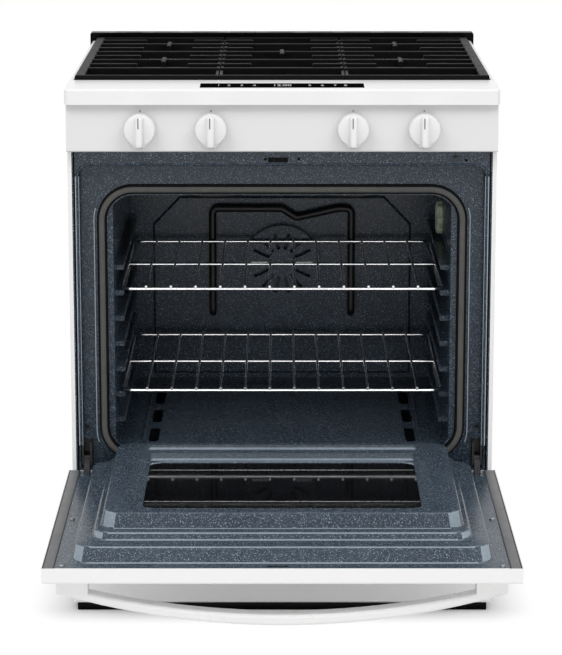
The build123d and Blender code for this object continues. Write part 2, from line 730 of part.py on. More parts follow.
with BuildPart() as oven_back_wall:
    slab(
        (-OVEN_HALF - SHEET, OVEN_HALF + SHEET),
        (OVEN_BACK, OVEN_BACK + SHEET),
        (BOX_BOTTOM, OVEN_CEILING),
    )
    with BuildSketch(Plane.XZ.offset(-OVEN_BACK)):
        with BuildLine():
            Polyline(
                (-EMBOSS_HALF, OVEN_FLOOR + EMBOSS_BOTTOM_GAP),
                (EMBOSS_HALF, OVEN_FLOOR + EMBOSS_BOTTOM_GAP),
                (EMBOSS_HALF, EMBOSS_SHOULDER),
                (EMBOSS_SHOULDER_HALF, EMBOSS_TOP),
                (-EMBOSS_SHOULDER_HALF, EMBOSS_TOP),
                (-EMBOSS_HALF, EMBOSS_SHOULDER),
                close=True,
            )
        make_face()
    extrude(amount=EMBOSS_DEPTH)
    chamfer(oven_back_wall.faces().sort_by(Axis.Y)[0].edges(), EMBOSS_EDGE)
    rod_along_y(0, FAN_Z, (EMBOSS_FRONT, OVEN_BACK + SHEET), SHAFT_CLEAR, Mode.SUBTRACT)
save(oven_back_wall, "oven_back_wall")

with BuildPart() as burner_box:
    slab((-OVEN_HALF, OVEN_HALF), (FRAME_DEPTH, OVEN_BACK), (BOX_BOTTOM, OVEN_FLOOR))
    slab(
        (-OVEN_HALF + SHEET, OVEN_HALF - SHEET),
        (FRAME_DEPTH + SHEET, OVEN_BACK - SHEET),
        (BOX_BOTTOM + SHEET, OVEN_FLOOR - SHEET),
        Mode.SUBTRACT,
    )
    slab(
        (-OVEN_HALF + BOX_LIP, OVEN_HALF - BOX_LIP),
        (FLOOR_FRONT + BOX_LIP, OVEN_BACK - BOX_LIP),
        (OVEN_FLOOR - SHEET, OVEN_FLOOR),
        Mode.SUBTRACT,
    )
save(burner_box, "burner_box")

with BuildPart() as oven_floor_panel:
    floor_top = OVEN_FLOOR + FLOOR_THICK
    slab((-OVEN_HALF + FIT, OVEN_HALF - FIT), (FLOOR_FRONT, OVEN_BACK - FIT), (OVEN_FLOOR, floor_top))
    for side in (-1, 1):
        bead_middle = FLOOR_FRONT + FLOOR_BEAD_MARGIN + FLOOR_BEAD_LENGTH / 2
        bead_x = side * (OVEN_HALF - FLOOR_BEAD_SIDE)
        rod("y", (bead_x, bead_middle, floor_top), FLOOR_BEAD_RADIUS, FLOOR_BEAD_LENGTH)
        for slot in range(FLOOR_SLOTS):
            middle = FLOOR_SLOT_FIRST + slot * FLOOR_SLOT_PITCH
            with BuildSketch(Plane.XY.offset(floor_top)):
                with Locations((side * (OVEN_HALF - FLOOR_SLOT_SIDE), middle)):
                    SlotOverall(FLOOR_SLOT_LENGTH, FLOOR_SLOT_WIDTH, rotation=90)
            extrude(amount=-FLOOR_THICK, mode=Mode.SUBTRACT)
    below = (OVEN_FLOOR - FLOOR_BEAD_RADIUS, OVEN_FLOOR)
    slab((-OVEN_HALF, OVEN_HALF), (FLOOR_FRONT, OVEN_BACK), below, Mode.SUBTRACT)
save(oven_floor_panel, "oven_floor_panel")

with BuildPart() as oven_insulation:
    slab(
        (-OVEN_HALF - SHEET - INSULATION_SIDE, OVEN_HALF + SHEET + INSULATION_SIDE),
        (FRAME_DEPTH + SHEET, OVEN_BACK + SHEET + INSULATION_BACK),
        (OVEN_FLOOR, OVEN_CEILING + SHEET + INSULATION_TOP),
    )
    slab(
        (-OVEN_HALF - SHEET, OVEN_HALF + SHEET),
        (FRAME_DEPTH, OVEN_BACK + SHEET),
        (OVEN_FLOOR, OVEN_CEILING + SHEET),
        Mode.SUBTRACT,
    )
    rod_along_y(0, FAN_Z, (OVEN_BACK, OVEN_BACK + SHEET + INSULATION_BACK), MOTOR_RADIUS + FIT, Mode.SUBTRACT)
    rod("x", (OVEN_HALF + INSULATION_SIDE, LAMP_Y, LAMP_Z), LAMP_RADIUS, 4 * INSULATION_SIDE, Mode.SUBTRACT)
save(oven_insulation, "oven_insulation")

# Heat, light and air in the oven
with BuildPart() as bake_burner:
    bake_z = BOX_BOTTOM + BAKE_RISE
    tube(
        [
            (-BAKE_HALF, OVEN_BACK - SHEET, bake_z),
            (-BAKE_HALF, BAKE_FRONT, bake_z),
            (BAKE_HALF, BAKE_FRONT, bake_z),
            (BAKE_HALF, OVEN_BACK - BAKE_END_GAP, bake_z),
        ],
        BAKE_BEND,
        BAKE_TUBE_RADIUS,
    )
save(bake_burner, "bake_burner")

with BuildPart() as broil_burner:
    broil_z = OVEN_CEILING - BROIL_DROP
    tube(
        [
            (-BROIL_OUTER, OVEN_BACK, broil_z),
            (-BROIL_OUTER, BROIL_FRONT, broil_z),
            (-BROIL_INNER, BROIL_FRONT, broil_z),
            (-BROIL_INNER, BROIL_TURN, broil_z),
            (BROIL_INNER, BROIL_TURN, broil_z),
            (BROIL_INNER, BROIL_FRONT, broil_z),
            (BROIL_OUTER, BROIL_FRONT, broil_z),
            (BROIL_OUTER, OVEN_BACK - BROIL_END_GAP, broil_z),
        ],
        BROIL_BEND,
        BROIL_TUBE_RADIUS,
    )
save(broil_burner, "broil_burner")

with BuildPart() as oven_igniters:
    igniter_y = (IGNITER_Y - IGNITER_WIDTH / 2, IGNITER_Y + IGNITER_WIDTH / 2)
    igniter_x = (-IGNITER_LENGTH / 2, IGNITER_LENGTH / 2)
    slab(igniter_x, igniter_y, (BOX_BOTTOM + SHEET, BOX_BOTTOM + SHEET + IGNITER_HEIGHT))
    slab(igniter_x, igniter_y, (OVEN_CEILING - IGNITER_HEIGHT, OVEN_CEILING))
save(oven_igniters, "oven_igniters")

with BuildPart() as convection_element:
    element_y = EMBOSS_FRONT - ELEMENT_STANDOFF
    tube(
        [
            (-ELEMENT_HALF, EMBOSS_FRONT, ELEMENT_BOTTOM),
            (-ELEMENT_HALF, element_y, ELEMENT_BOTTOM),
            (-ELEMENT_HALF, element_y, ELEMENT_TOP),
            (0, element_y, ELEMENT_TOP),
            (ELEMENT_DIP_X, element_y, ELEMENT_TOP - ELEMENT_DIP),
            (ELEMENT_RISE_X, element_y, ELEMENT_TOP),
            (ELEMENT_HALF, element_y, ELEMENT_TOP),
            (ELEMENT_HALF, element_y, ELEMENT_BOTTOM),
            (ELEMENT_HALF, EMBOSS_FRONT, ELEMENT_BOTTOM),
        ],
        ELEMENT_BEND,
        ELEMENT_RADIUS,
    )
save(convection_element, "convection_element")

with BuildPart() as oven_lamp:
    rod("x", (OVEN_HALF - LAMP_LENS / 2, LAMP_Y, LAMP_Z), LAMP_RADIUS, LAMP_LENS)
    fillet(oven_lamp.edges().group_by(Axis.X)[0], LAMP_EDGE)
    neck = SHEET + LAMP_SOCKET
    rod("x", (OVEN_HALF + neck / 2, LAMP_Y, LAMP_Z), LAMP_NECK, neck)
save(oven_lamp, "oven_lamp")

with BuildPart() as temperature_probe:
    rod_along_y(PROBE_X, PROBE_Z, (OVEN_BACK - PROBE_LENGTH, OVEN_BACK), PROBE_RADIUS)
    rod_along_y(PROBE_X, PROBE_Z, (OVEN_BACK - PROBE_FLANGE, OVEN_BACK), PROBE_FLANGE_RADIUS)
save(temperature_probe, "temperature_probe")

with BuildPart() as fan_cover:
    rod_along_y(0, FAN_Z, (COVER_FRONT, EMBOSS_FRONT), COVER_RADIUS)
    rod_along_y(0, FAN_Z, (COVER_FRONT + SHEET, EMBOSS_FRONT), COVER_RADIUS - SHEET, Mode.SUBTRACT)
    with BuildSketch(Plane.XZ.offset(-COVER_FRONT)):
        with Locations((0, FAN_Z)):
            with PolarLocations(COVER_SLOT_RING, COVER_SLOTS):
                SlotOverall(COVER_SLOT_LENGTH, COVER_SLOT_WIDTH)
    extrude(amount=-SHEET, mode=Mode.SUBTRACT)
save(fan_cover, "fan_cover")

FAN_FRONT = COVER_FRONT + SHEET + FAN_GAP
FAN_BACK = EMBOSS_FRONT - FAN_GAP
MOTOR_FRONT = OVEN_BACK + SHEET

with BuildPart() as convection_fan:
    rod_along_y(0, FAN_Z, (FAN_FRONT, FAN_BACK), FAN_HUB_RADIUS)
    rod_along_y(0, FAN_Z, (FAN_FRONT, MOTOR_FRONT + SHAFT_IN_MOTOR - FIT), SHAFT_RADIUS)
    with BuildSketch(Plane.XZ.offset(-FAN_FRONT)):
        with Locations((0, FAN_Z)):
            with PolarLocations(FAN_RADIUS / 2, FAN_BLADES):
                Rectangle(FAN_RADIUS, FAN_BLADE_THICK)
    extrude(amount=-FAN_BLADE_WIDTH)
save(convection_fan, "convection_fan")

with BuildPart() as fan_motor:
    rod_along_y(0, FAN_Z, (MOTOR_FRONT, MOTOR_FRONT + MOTOR_LENGTH), MOTOR_RADIUS)
    rod_along_y(0, FAN_Z, (MOTOR_FRONT, MOTOR_FRONT + SHAFT_IN_MOTOR), SHAFT_RADIUS + RUN, Mode.SUBTRACT)
save(fan_motor, "fan_motor")

# Racks
for rack_name, level in (("lower", LOWER_RACK_LEVEL), ("upper", UPPER_RACK_LEVEL)):
    frame_z = GUIDE_TOPS[level] + FIT + RACK_FRAME_RADIUS
    wire_z = frame_z + RACK_FRAME_RADIUS + RACK_WIRE_RADIUS - RACK_WELD
    with BuildPart() as oven_rack:
        with BuildLine() as rack_path:
            FilletPolyline(
                (RACK_HALF, RACK_FRONT, frame_z),
                (RACK_HALF, RACK_BACK, frame_z),
                (-RACK_HALF, RACK_BACK, frame_z),
                (-RACK_HALF, RACK_FRONT, frame_z),
                radius=RACK_CORNER,
                close=True,
            )
        with BuildSketch(Plane(origin=rack_path.line @ 0, z_dir=rack_path.line % 0)):
            Circle(RACK_FRAME_RADIUS)
        sweep(path=rack_path.line)
        rod("x", (0, (RACK_FRONT + RACK_BACK) / 2, frame_z), RACK_FRAME_RADIUS, 2 * RACK_HALF)
        for wire in range(RACK_WIRES):
            x = (wire - (RACK_WIRES - 1) / 2) * RACK_WIRE_PITCH
            wire_ys = (RACK_FRONT - RACK_WIRE_LEAD, RACK_BACK + RACK_WIRE_LEAD)
            rod_along_y(x, wire_z, wire_ys, RACK_WIRE_RADIUS)
    save(oven_rack, f"oven_rack_{rack_name}")

# Cooktop
with BuildPart() as cooktop:
    slab((-HALF_COOKTOP, HALF_COOKTOP), (-RIM_OVERHANG, COOKTOP_BACK), (RIM_BOTTOM, COOKTOP_HEIGHT))
    fillet(cooktop.edges().filter_by(Axis.Z).group_by(Axis.Y)[0], RIM_CORNER)
    top_edges = cooktop.faces().sort_by(Axis.Z)[-1].edges()
    fillet(top_edges.sort_by(Axis.Y)[:-1], RIM_EDGE)
    slab(
        (-HALF_COOKTOP + SHEET, HALF_COOKTOP - SHEET),
        (-RIM_OVERHANG + SHEET + RIM_EDGE, COOKTOP_BACK - SHEET),
        (RIM_BOTTOM + SHEET, COOKTOP_HEIGHT - SHEET - RIM_EDGE),
        Mode.SUBTRACT,
    )
    slab(
        (-HALF_COOKTOP + RIM_LIP, HALF_COOKTOP - RIM_LIP),
        (-RIM_OVERHANG + RIM_LIP + RIM_EDGE, COOKTOP_BACK - RIM_LIP),
        (RIM_BOTTOM, RIM_BOTTOM + SHEET),
        Mode.SUBTRACT,
    )
    well_zs = (RIM_BOTTOM + SHEET, COOKTOP_HEIGHT)
    slab((-WELL_HALF, WELL_HALF), (WELL_FRONT, WELL_BACK), well_zs, Mode.SUBTRACT)
    slab(
        (-GLASS_WIDTH / 2, GLASS_WIDTH / 2),
        (GLASS_FRONT, GLASS_FRONT + GLASS_DEPTH),
        (RIM_BOTTOM + SHEET, COOKTOP_HEIGHT),
        Mode.SUBTRACT,
    )
save(cooktop, "cooktop")

GLASS_BOTTOM = COOKTOP_HEIGHT + GLASS_PROUD - GLASS_THICK

with BuildPart() as control_glass:
    slab(
        (-GLASS_WIDTH / 2, GLASS_WIDTH / 2),
        (GLASS_FRONT, GLASS_FRONT + GLASS_DEPTH),
        (GLASS_BOTTOM, COOKTOP_HEIGHT + GLASS_PROUD),
    )
save(control_glass, "control_glass")

with BuildPart() as control_board:
    slab(
        (-GLASS_WIDTH / 2 + BOARD_INSET, GLASS_WIDTH / 2 - BOARD_INSET),
        (GLASS_FRONT + BOARD_INSET, GLASS_FRONT + GLASS_DEPTH - BOARD_INSET),
        (GLASS_BOTTOM - BOARD_THICK, GLASS_BOTTOM),
    )
save(control_board, "control_board")

BURNERS = {
    "front_left": (-BURNER_X, BURNER_FRONT_Y, BURNER_LARGE),
    "front_right": (BURNER_X, BURNER_FRONT_Y, BURNER_MEDIUM),
    "rear_left": (-BURNER_X, BURNER_REAR_Y, BURNER_SMALL),
    "rear_right": (BURNER_X, BURNER_REAR_Y, BURNER_MEDIUM),
}

with BuildPart() as burner_well:
    slab(
        (-WELL_HALF, WELL_HALF),
        (WELL_FRONT, WELL_BACK),
        (RIM_BOTTOM + SHEET, COOKTOP_HEIGHT - WELL_DROP),
    )
    slab(
        (-WELL_HALF + SHEET, WELL_HALF - SHEET),
        (WELL_FRONT + SHEET, WELL_BACK - SHEET),
        (WELL_FLOOR, COOKTOP_HEIGHT),
        Mode.SUBTRACT,
    )
    for x, y, radius in BURNERS.values():
        rod_upright(x, y, (WELL_FLOOR - SHEET, WELL_FLOOR), VENTURI_RADIUS + FIT, Mode.SUBTRACT)
save(burner_well, "burner_well")

HEAD_TOP = WELL_FLOOR + HEAD_HEIGHT

with BuildPart() as burner_heads:
    for x, y, radius in BURNERS.values():
        rod_upright(x, y, (WELL_FLOOR, HEAD_TOP), radius)
        rod_upright(x, y, (WELL_FLOOR - VENTURI_DROP, WELL_FLOOR), VENTURI_RADIUS)
save(burner_heads, "burner_heads")

with BuildPart() as burner_caps:
    for x, y, radius in BURNERS.values():
        rod_upright(x, y, (HEAD_TOP, HEAD_TOP + CAP_THICK), radius - CAP_INSET)
    fillet(burner_caps.edges().group_by(Axis.Z)[-1], CAP_EDGE)
save(burner_caps, "burner_caps")

with BuildPart() as spark_electrodes:
    for x, y, radius in BURNERS.values():
        spark_x = x + radius + SPARK_GAP
        rod_upright(spark_x, y, (WELL_FLOOR, WELL_FLOOR + SPARK_HEIGHT), SPARK_RADIUS)
save(spark_electrodes, "spark_electrodes")

with BuildPart() as rear_trim:
    trim_top = COOKTOP_HEIGHT + TRIM_RISE
    slab((-HALF_TRIM, HALF_TRIM), (COOKTOP_BACK, BODY_DEPTH), (RIM_BOTTOM, trim_top))
    fillet(rear_trim.edges().filter_by(Axis.Y).group_by(Axis.Z)[-1], TRIM_EDGE)
    slab(
        (-HALF_TRIM + SHEET, HALF_TRIM - SHEET),
        (COOKTOP_BACK + SHEET, BODY_DEPTH - SHEET),
        (RIM_BOTTOM, trim_top - SHEET),
        Mode.SUBTRACT,
    )
    with BuildSketch(Plane.XY.offset(trim_top)):
        with Locations((0, (COOKTOP_BACK + BODY_DEPTH) / 2)):
            with GridLocations(TRIM_SLOT_PITCH, TRIM_DEPTH, TRIM_SLOTS, 1):
                SlotOverall(TRIM_SLOT_LENGTH, TRIM_SLOT_WIDTH)
    extrude(amount=-SHEET, mode=Mode.SUBTRACT)
save(rear_trim, "rear_trim")

# Grates: bars across, side bars, gussets, burner fingers and feet
SPLIT_IN = GRATE_SPLIT - GRATE_SPLIT_GAP / 2
SPLIT_OUT = GRATE_SPLIT + GRATE_SPLIT_GAP / 2
ROW_PITCH = (BURNER_REAR_Y - BURNER_FRONT_Y) / 4
GRATE_ROWS = range(-2, 6)


def grate(left, right, middle, gap, finger_rows):
    """One grate between two places along X, with gaps in its short bars and fingers over the burners."""
    bar_low = GRATE_TOP - BAR_HEIGHT
    heights = (bar_low, GRATE_TOP)
    for row in GRATE_ROWS:
        y = BURNER_FRONT_Y + row * ROW_PITCH
        ys = (y - BAR_WIDTH / 2, y + BAR_WIDTH / 2)
        if row % 2 == 0:
            slab((left, right), ys, heights)
        else:
            slab((left, middle - gap), ys, heights)
            slab((middle + gap, right), ys, heights)
    for y in (GRATE_FRONT, GRATE_BACK - BAR_WIDTH):
        slab((left, right), (y, y + BAR_WIDTH), heights)
    for edge, inward in ((left, 1), (right, -1)):
        is_outer = abs(edge) > SPLIT_OUT
        width = SIDE_BAR_WIDTH if is_outer else SPLIT_BAR_WIDTH
        side_top = GRATE_TOP if is_outer else GRATE_TOP - SPLIT_BAR_DROP
        inner = edge + inward * width
        slab((min(edge, inner), max(edge, inner)), (GRATE_FRONT, GRATE_BACK), (bar_low, side_top))
        corner_y = GRATE_FRONT + BAR_WIDTH
        with BuildSketch(Plane.XY.offset(bar_low)) as gusset:
            with BuildLine():
                Polyline(
                    (edge, corner_y),
                    (inner, corner_y + GUSSET),
                    (inner + inward * GUSSET, corner_y),
                    close=True,
                )
            make_face()
        extrude(gusset.sketch, amount=BAR_HEIGHT - SPLIT_BAR_DROP)
    for row in finger_rows:
        y = BURNER_FRONT_Y + row * ROW_PITCH
        slab(
            (middle - BAR_WIDTH / 2, middle + BAR_WIDTH / 2),
            (y - FINGER_LENGTH / 2, y + FINGER_LENGTH / 2),
            heights,
        )
    for x in (left, right - GRATE_FOOT):
        for y in (GRATE_FRONT, GRATE_BACK - GRATE_FOOT):
            slab((x, x + GRATE_FOOT), (y, y + GRATE_FOOT), (WELL_FLOOR + FIT, bar_low))


with BuildPart() as grate_left:
    grate(-GRATE_HALF, -SPLIT_OUT, -BURNER_X, BURNER_GAP, (0, 4))
    chamfer(grate_left.faces().filter_by(Axis.Z).group_by(Axis.Z)[-1].edges(), BAR_BEVEL)
save(grate_left, "grate_left")

with BuildPart() as grate_center:
    grate(-SPLIT_IN, SPLIT_IN, 0, CENTRE_GAP, (2,))
    chamfer(grate_center.faces().filter_by(Axis.Z).group_by(Axis.Z)[-1].edges(), BAR_BEVEL)
save(grate_center, "grate_center")

with BuildPart() as grate_right:
    grate(SPLIT_OUT, GRATE_HALF, BURNER_X, BURNER_GAP, (0, 4))
    chamfer(grate_right.faces().filter_by(Axis.Z).group_by(Axis.Z)[-1].edges(), BAR_BEVEL)
save(grate_right, "grate_right")

# Control panel, knobs, valves and gas supply
with BuildPart() as control_panel:
    with BuildSketch(Plane.YZ):
        with BuildLine():
            Polyline(
                (0, FRAME_TOP),
                (-PANEL_BOTTOM_DEPTH + PANEL_EDGE, FRAME_TOP),
                (-PANEL_BOTTOM_DEPTH, FRAME_TOP + PANEL_EDGE),
                (-PANEL_TOP_DEPTH, RIM_BOTTOM),
                (0, RIM_BOTTOM),
                close=True,
            )
        make_face()
    extrude(amount=HALF_BODY, both=True)
    with BuildSketch(Plane.YZ):
        with BuildLine():
            Polyline(
                (0, FRAME_TOP + SHEET),
                (-PANEL_BOTTOM_DEPTH + PANEL_EDGE + SHEET, FRAME_TOP + SHEET),
                (-PANEL_BOTTOM_DEPTH + SHEET, FRAME_TOP + PANEL_EDGE + SHEET),
                (-PANEL_TOP_DEPTH + SHEET, RIM_BOTTOM - SHEET),
                (0, RIM_BOTTOM - SHEET),
                close=True,
            )
        make_face()
    extrude(amount=HALF_BODY - SHEET, both=True, mode=Mode.SUBTRACT)
    for x in KNOB_XS.values():
        rod_along_y(x, KNOB_Z, (-PANEL_BOTTOM_DEPTH, 0), STEM_RADIUS + STEM_PANEL_GAP, Mode.SUBTRACT)
save(control_panel, "control_panel")

for place, x in KNOB_XS.items():
    with BuildPart() as valve_stem:
        rod_along_y(x, KNOB_Z, (STEM_FRONT + FIT, STEM_BACK), STEM_RADIUS)
    save(valve_stem, f"valve_stem_{place}")

    with BuildPart() as knob:
        skirt_front = KNOB_BACK - KNOB_SKIRT
        rod_along_y(x, KNOB_Z, (skirt_front, KNOB_BACK), KNOB_RADIUS)
        fillet(knob.edges().group_by(Axis.Y)[0], KNOB_EDGE)
        grip_top = KNOB_Z + KNOB_RADIUS - KNOB_GRIP_INSET
        tip = KNOB_Z - KNOB_RADIUS - KNOB_TIP_REACH
        with BuildSketch(Plane.XZ.offset(-skirt_front)):
            with BuildLine():
                Polyline(
                    (x - KNOB_GRIP_WIDTH / 2, grip_top),
                    (x - KNOB_GRIP_WIDTH / 2, tip + KNOB_TIP_LENGTH),
                    (x - KNOB_TIP_WIDTH / 2, tip),
                    (x + KNOB_TIP_WIDTH / 2, tip),
                    (x + KNOB_GRIP_WIDTH / 2, tip + KNOB_TIP_LENGTH),
                    (x + KNOB_GRIP_WIDTH / 2, grip_top),
                    close=True,
                )
            make_face()
        extrude(amount=KNOB_GRIP_REACH)
        fillet(knob.faces().sort_by(Axis.Y)[0].edges(), KNOB_EDGE)
        rod_along_y(x, KNOB_Z, (STEM_FRONT, KNOB_BACK), STEM_RADIUS + RUN, Mode.SUBTRACT)
    save(knob, f"knob_{place}")

with BuildPart() as burner_valves:
    for x in KNOB_XS.values():
        slab(
            (x - VALVE_WIDTH / 2, x + VALVE_WIDTH / 2),
            (VALVE_FRONT, VALVE_BACK),
            (KNOB_Z - VALVE_HEIGHT / 2, KNOB_Z + VALVE_HEIGHT / 2),
        )
        bore_span = (VALVE_FRONT, STEM_BACK + KNOB_PUSH + KNOB_GAP)
        rod_along_y(x, KNOB_Z, bore_span, STEM_RADIUS + RUN, Mode.SUBTRACT)
save(burner_valves, "burner_valves")

with BuildPart() as gas_manifold:
    tube(
        [
            (-HALF_BODY + SHEET, PIPE_Y, KNOB_Z),
            (PIPE_X, PIPE_Y, KNOB_Z),
            (PIPE_X, PIPE_REAR_Y, KNOB_Z),
            (PIPE_X, PIPE_REAR_Y, REGULATOR_Z + REGULATOR_HEIGHT / 2),
        ],
        PIPE_BEND,
        PIPE_RADIUS,
    )
save(gas_manifold, "gas_manifold")

with BuildPart() as pressure_regulator:
    inlet_end = BODY_DEPTH - INLET_INSET
    half_height = REGULATOR_HEIGHT / 2
    rod_upright(PIPE_X, PIPE_REAR_Y, (REGULATOR_Z - half_height, REGULATOR_Z + half_height), REGULATOR_RADIUS)
    slab(
        (PIPE_X, HALF_BODY - SHEET),
        (PIPE_REAR_Y - REGULATOR_LUG / 2, PIPE_REAR_Y + REGULATOR_LUG / 2),
        (REGULATOR_Z - REGULATOR_LUG / 2, REGULATOR_Z + REGULATOR_LUG / 2),
    )
    rod_along_y(PIPE_X, REGULATOR_Z, (PIPE_REAR_Y, inlet_end), INLET_RADIUS + INLET_WALL)
    rod_along_y(PIPE_X, REGULATOR_Z, (inlet_end - INLET_DEPTH, inlet_end), INLET_RADIUS, Mode.SUBTRACT)
save(pressure_regulator, "pressure_regulator")

# Door
with BuildPart() as door_skin:
    slab((-HALF_DOOR, HALF_DOOR), (DOOR_FRONT, DOOR_BACK), (SKIN_Z, FLANGE_Z))
    fillet(door_skin.faces().sort_by(Axis.Z)[0].edges(), SKIN_EDGE)
    slab(
        (-HALF_LINER, HALF_LINER),
        (DOOR_FRONT + SHEET, DOOR_BACK - SHEET),
        (SKIN_Z + SHEET, FLANGE_Z),
        Mode.SUBTRACT,
    )
    arm_half = ARM_WIDTH / 2 + ARM_SLOT_GAP
    for side in (-1, 1):
        slab(
            span(side, HINGE_X - arm_half, HINGE_X + arm_half),
            (DOOR_BACK - SHEET, DOOR_BACK),
            (SKIN_Z + SHEET, FLANGE_Z),
            Mode.SUBTRACT,
        )
    outer_front = DOOR_FRONT + OUTER_WINDOW_INSET
    outer_back = outer_front + OUTER_WINDOW_DEPTH
    outer_hole = rounded_face(SKIN_Z, OUTER_WINDOW_WIDTH, outer_front, outer_back, WINDOW_RADIUS)
    extrude(outer_hole, amount=SHEET, mode=Mode.SUBTRACT)
save(door_skin, "door_skin")

with BuildPart() as outer_glass:
    slab(
        (-OUTER_WINDOW_WIDTH / 2 - GLASS_LAP, OUTER_WINDOW_WIDTH / 2 + GLASS_LAP),
        (outer_front - GLASS_LAP, outer_back + GLASS_LAP),
        (SKIN_Z + SHEET, SKIN_Z + SHEET + PANE_THICK),
    )
save(outer_glass, "outer_glass")

WINDOW_FRONT = DOOR_FRONT + WINDOW_INSET
WINDOW_BACK = PLUG_BACK - WINDOW_BACK_MARGIN

with BuildPart() as door_liner:
    slab(
        (-HALF_LINER, HALF_LINER),
        (DOOR_FRONT + SHEET, DOOR_BACK - SHEET),
        (FLANGE_Z - SHEET, FLANGE_Z),
    )
    for wall, mode in ((0, Mode.ADD), (SHEET, Mode.SUBTRACT)):
        for step, top in enumerate(STEP_TOPS):
            base = top - STEP_RISES[step]
            back = PLUG_BACK - wall
            radius = STEP_RADII[step] - wall
            base_front = DOOR_FRONT + STEP_BASE_INSETS[step] + wall
            top_front = DOOR_FRONT + STEP_TOP_INSETS[step] + wall
            low_width = 2 * (HALF_LINER - STEP_BASE_SIDES[step] - wall)
            high_width = 2 * (HALF_LINER - STEP_TOP_SIDES[step] - wall)
            low_face = rounded_face(base - wall, low_width, base_front, back, radius)
            high_face = rounded_face(top - wall, high_width, top_front, back, radius)
            loft([low_face, high_face], mode=mode)
    rod(
        "x",
        (0, PLUG_BACK - BEAD_SETBACK, PLATEAU_Z + BEAD_RISE - BEAD_RADIUS),
        BEAD_RADIUS,
        BEAD_WIDTH,
    )
    rod(
        "x",
        (0, PLUG_BACK - THIN_BEAD_SETBACK, PLATEAU_Z + THIN_BEAD_RISE - THIN_BEAD_RADIUS),
        THIN_BEAD_RADIUS,
        THIN_BEAD_WIDTH,
    )
    window = rounded_face(PLATEAU_Z, WINDOW_WIDTH, WINDOW_FRONT, WINDOW_BACK, WINDOW_RADIUS)
    extrude(window, amount=-SHEET, mode=Mode.SUBTRACT)
    strike_y = PIVOT_Y + PIVOT_Z - LATCH_Z
    slab(
        (LATCH_X - LATCH_WIDTH / 2 - STRIKE_GAP, LATCH_X + LATCH_WIDTH / 2 + STRIKE_GAP),
        (strike_y - LATCH_HEIGHT / 2 - STRIKE_GAP, strike_y + LATCH_HEIGHT / 2 + STRIKE_GAP),
        (FLANGE_Z - SHEET, FLANGE_Z),
        Mode.SUBTRACT,
    )
    for side in (-1, 1):
        slab(
            span(side, HINGE_X - NOTCH_WIDTH / 2, HINGE_X + NOTCH_WIDTH / 2),
            (DOOR_BACK - NOTCH_DEPTH, DOOR_BACK),
            (FLANGE_Z - SHEET, FLANGE_Z),
            Mode.SUBTRACT,
        )
save(door_liner, "door_liner")

with BuildPart() as inner_glass:
    slab(
        (-WINDOW_WIDTH / 2 - GLASS_LAP, WINDOW_WIDTH / 2 + GLASS_LAP),
        (WINDOW_FRONT - GLASS_LAP, WINDOW_BACK + GLASS_LAP),
        (PLATEAU_Z - SHEET - PANE_THICK, PLATEAU_Z - SHEET),
    )
save(inner_glass, "inner_glass")

with BuildPart() as door_handle:
    post_bottom = SKIN_Z - HANDLE_POST_DROP
    with BuildSketch(Plane.XZ.offset(-HANDLE_Y - HANDLE_DEPTH / 2)):
        with BuildLine():
            Line((HALF_HANDLE - HANDLE_POST, SKIN_Z), (HALF_HANDLE, SKIN_Z))
            Line((HALF_HANDLE, SKIN_Z), (HALF_HANDLE, SKIN_Z - HANDLE_END))
            ThreePointArc(
                (HALF_HANDLE, SKIN_Z - HANDLE_END),
                (0, SKIN_Z - HANDLE_REACH),
                (-HALF_HANDLE, SKIN_Z - HANDLE_END),
            )
            Line((-HALF_HANDLE, SKIN_Z - HANDLE_END), (-HALF_HANDLE, SKIN_Z))
            Line((-HALF_HANDLE, SKIN_Z), (-HALF_HANDLE + HANDLE_POST, SKIN_Z))
            Line((-HALF_HANDLE + HANDLE_POST, SKIN_Z), (-HALF_HANDLE + HANDLE_POST, post_bottom))
            ThreePointArc(
                (-HALF_HANDLE + HANDLE_POST, post_bottom),
                (0, SKIN_Z - HANDLE_REACH + HANDLE_BAR),
                (HALF_HANDLE - HANDLE_POST, post_bottom),
            )
            Line((HALF_HANDLE - HANDLE_POST, post_bottom), (HALF_HANDLE - HANDLE_POST, SKIN_Z))
        make_face()
    extrude(amount=HANDLE_DEPTH)
    long_edges = door_handle.edges().filter_by(GeomType.CIRCLE)
    fillet(long_edges, HANDLE_EDGE)
save(door_handle, "door_handle")

with BuildPart() as hinge_arms:
    arm_low = SKIN_Z + SHEET
    for side in (-1, 1):
        with BuildSketch(Plane.YZ.offset(side * HINGE_X - ARM_WIDTH / 2)):
            with BuildLine():
                Polyline(
                    (DOOR_BACK - ARM_LENGTH, arm_low),
                    (DOOR_BACK - ARM_SIDE_GAP, arm_low),
                    (DOOR_BACK - ARM_SIDE_GAP, RECESS_BOTTOM + ARM_SIDE_GAP),
                    (PIVOT_Y, PIVOT_Z - ARM_HUB_RADIUS),
                    (PIVOT_Y, PIVOT_Z),
                    (PIVOT_Y - ARM_HUB_RADIUS, PIVOT_Z),
                    (DOOR_BACK - NOTCH_DEPTH, arm_low + ARM_HEIGHT),
                    (DOOR_BACK - ARM_LENGTH, arm_low + ARM_HEIGHT),
                    close=True,
                )
            make_face()
            with Locations((PIVOT_Y, PIVOT_Z)):
                Circle(ARM_HUB_RADIUS)
                Circle(PIN_RADIUS + RUN, mode=Mode.SUBTRACT)
        extrude(amount=ARM_WIDTH)
save(hinge_arms, "hinge_arms")

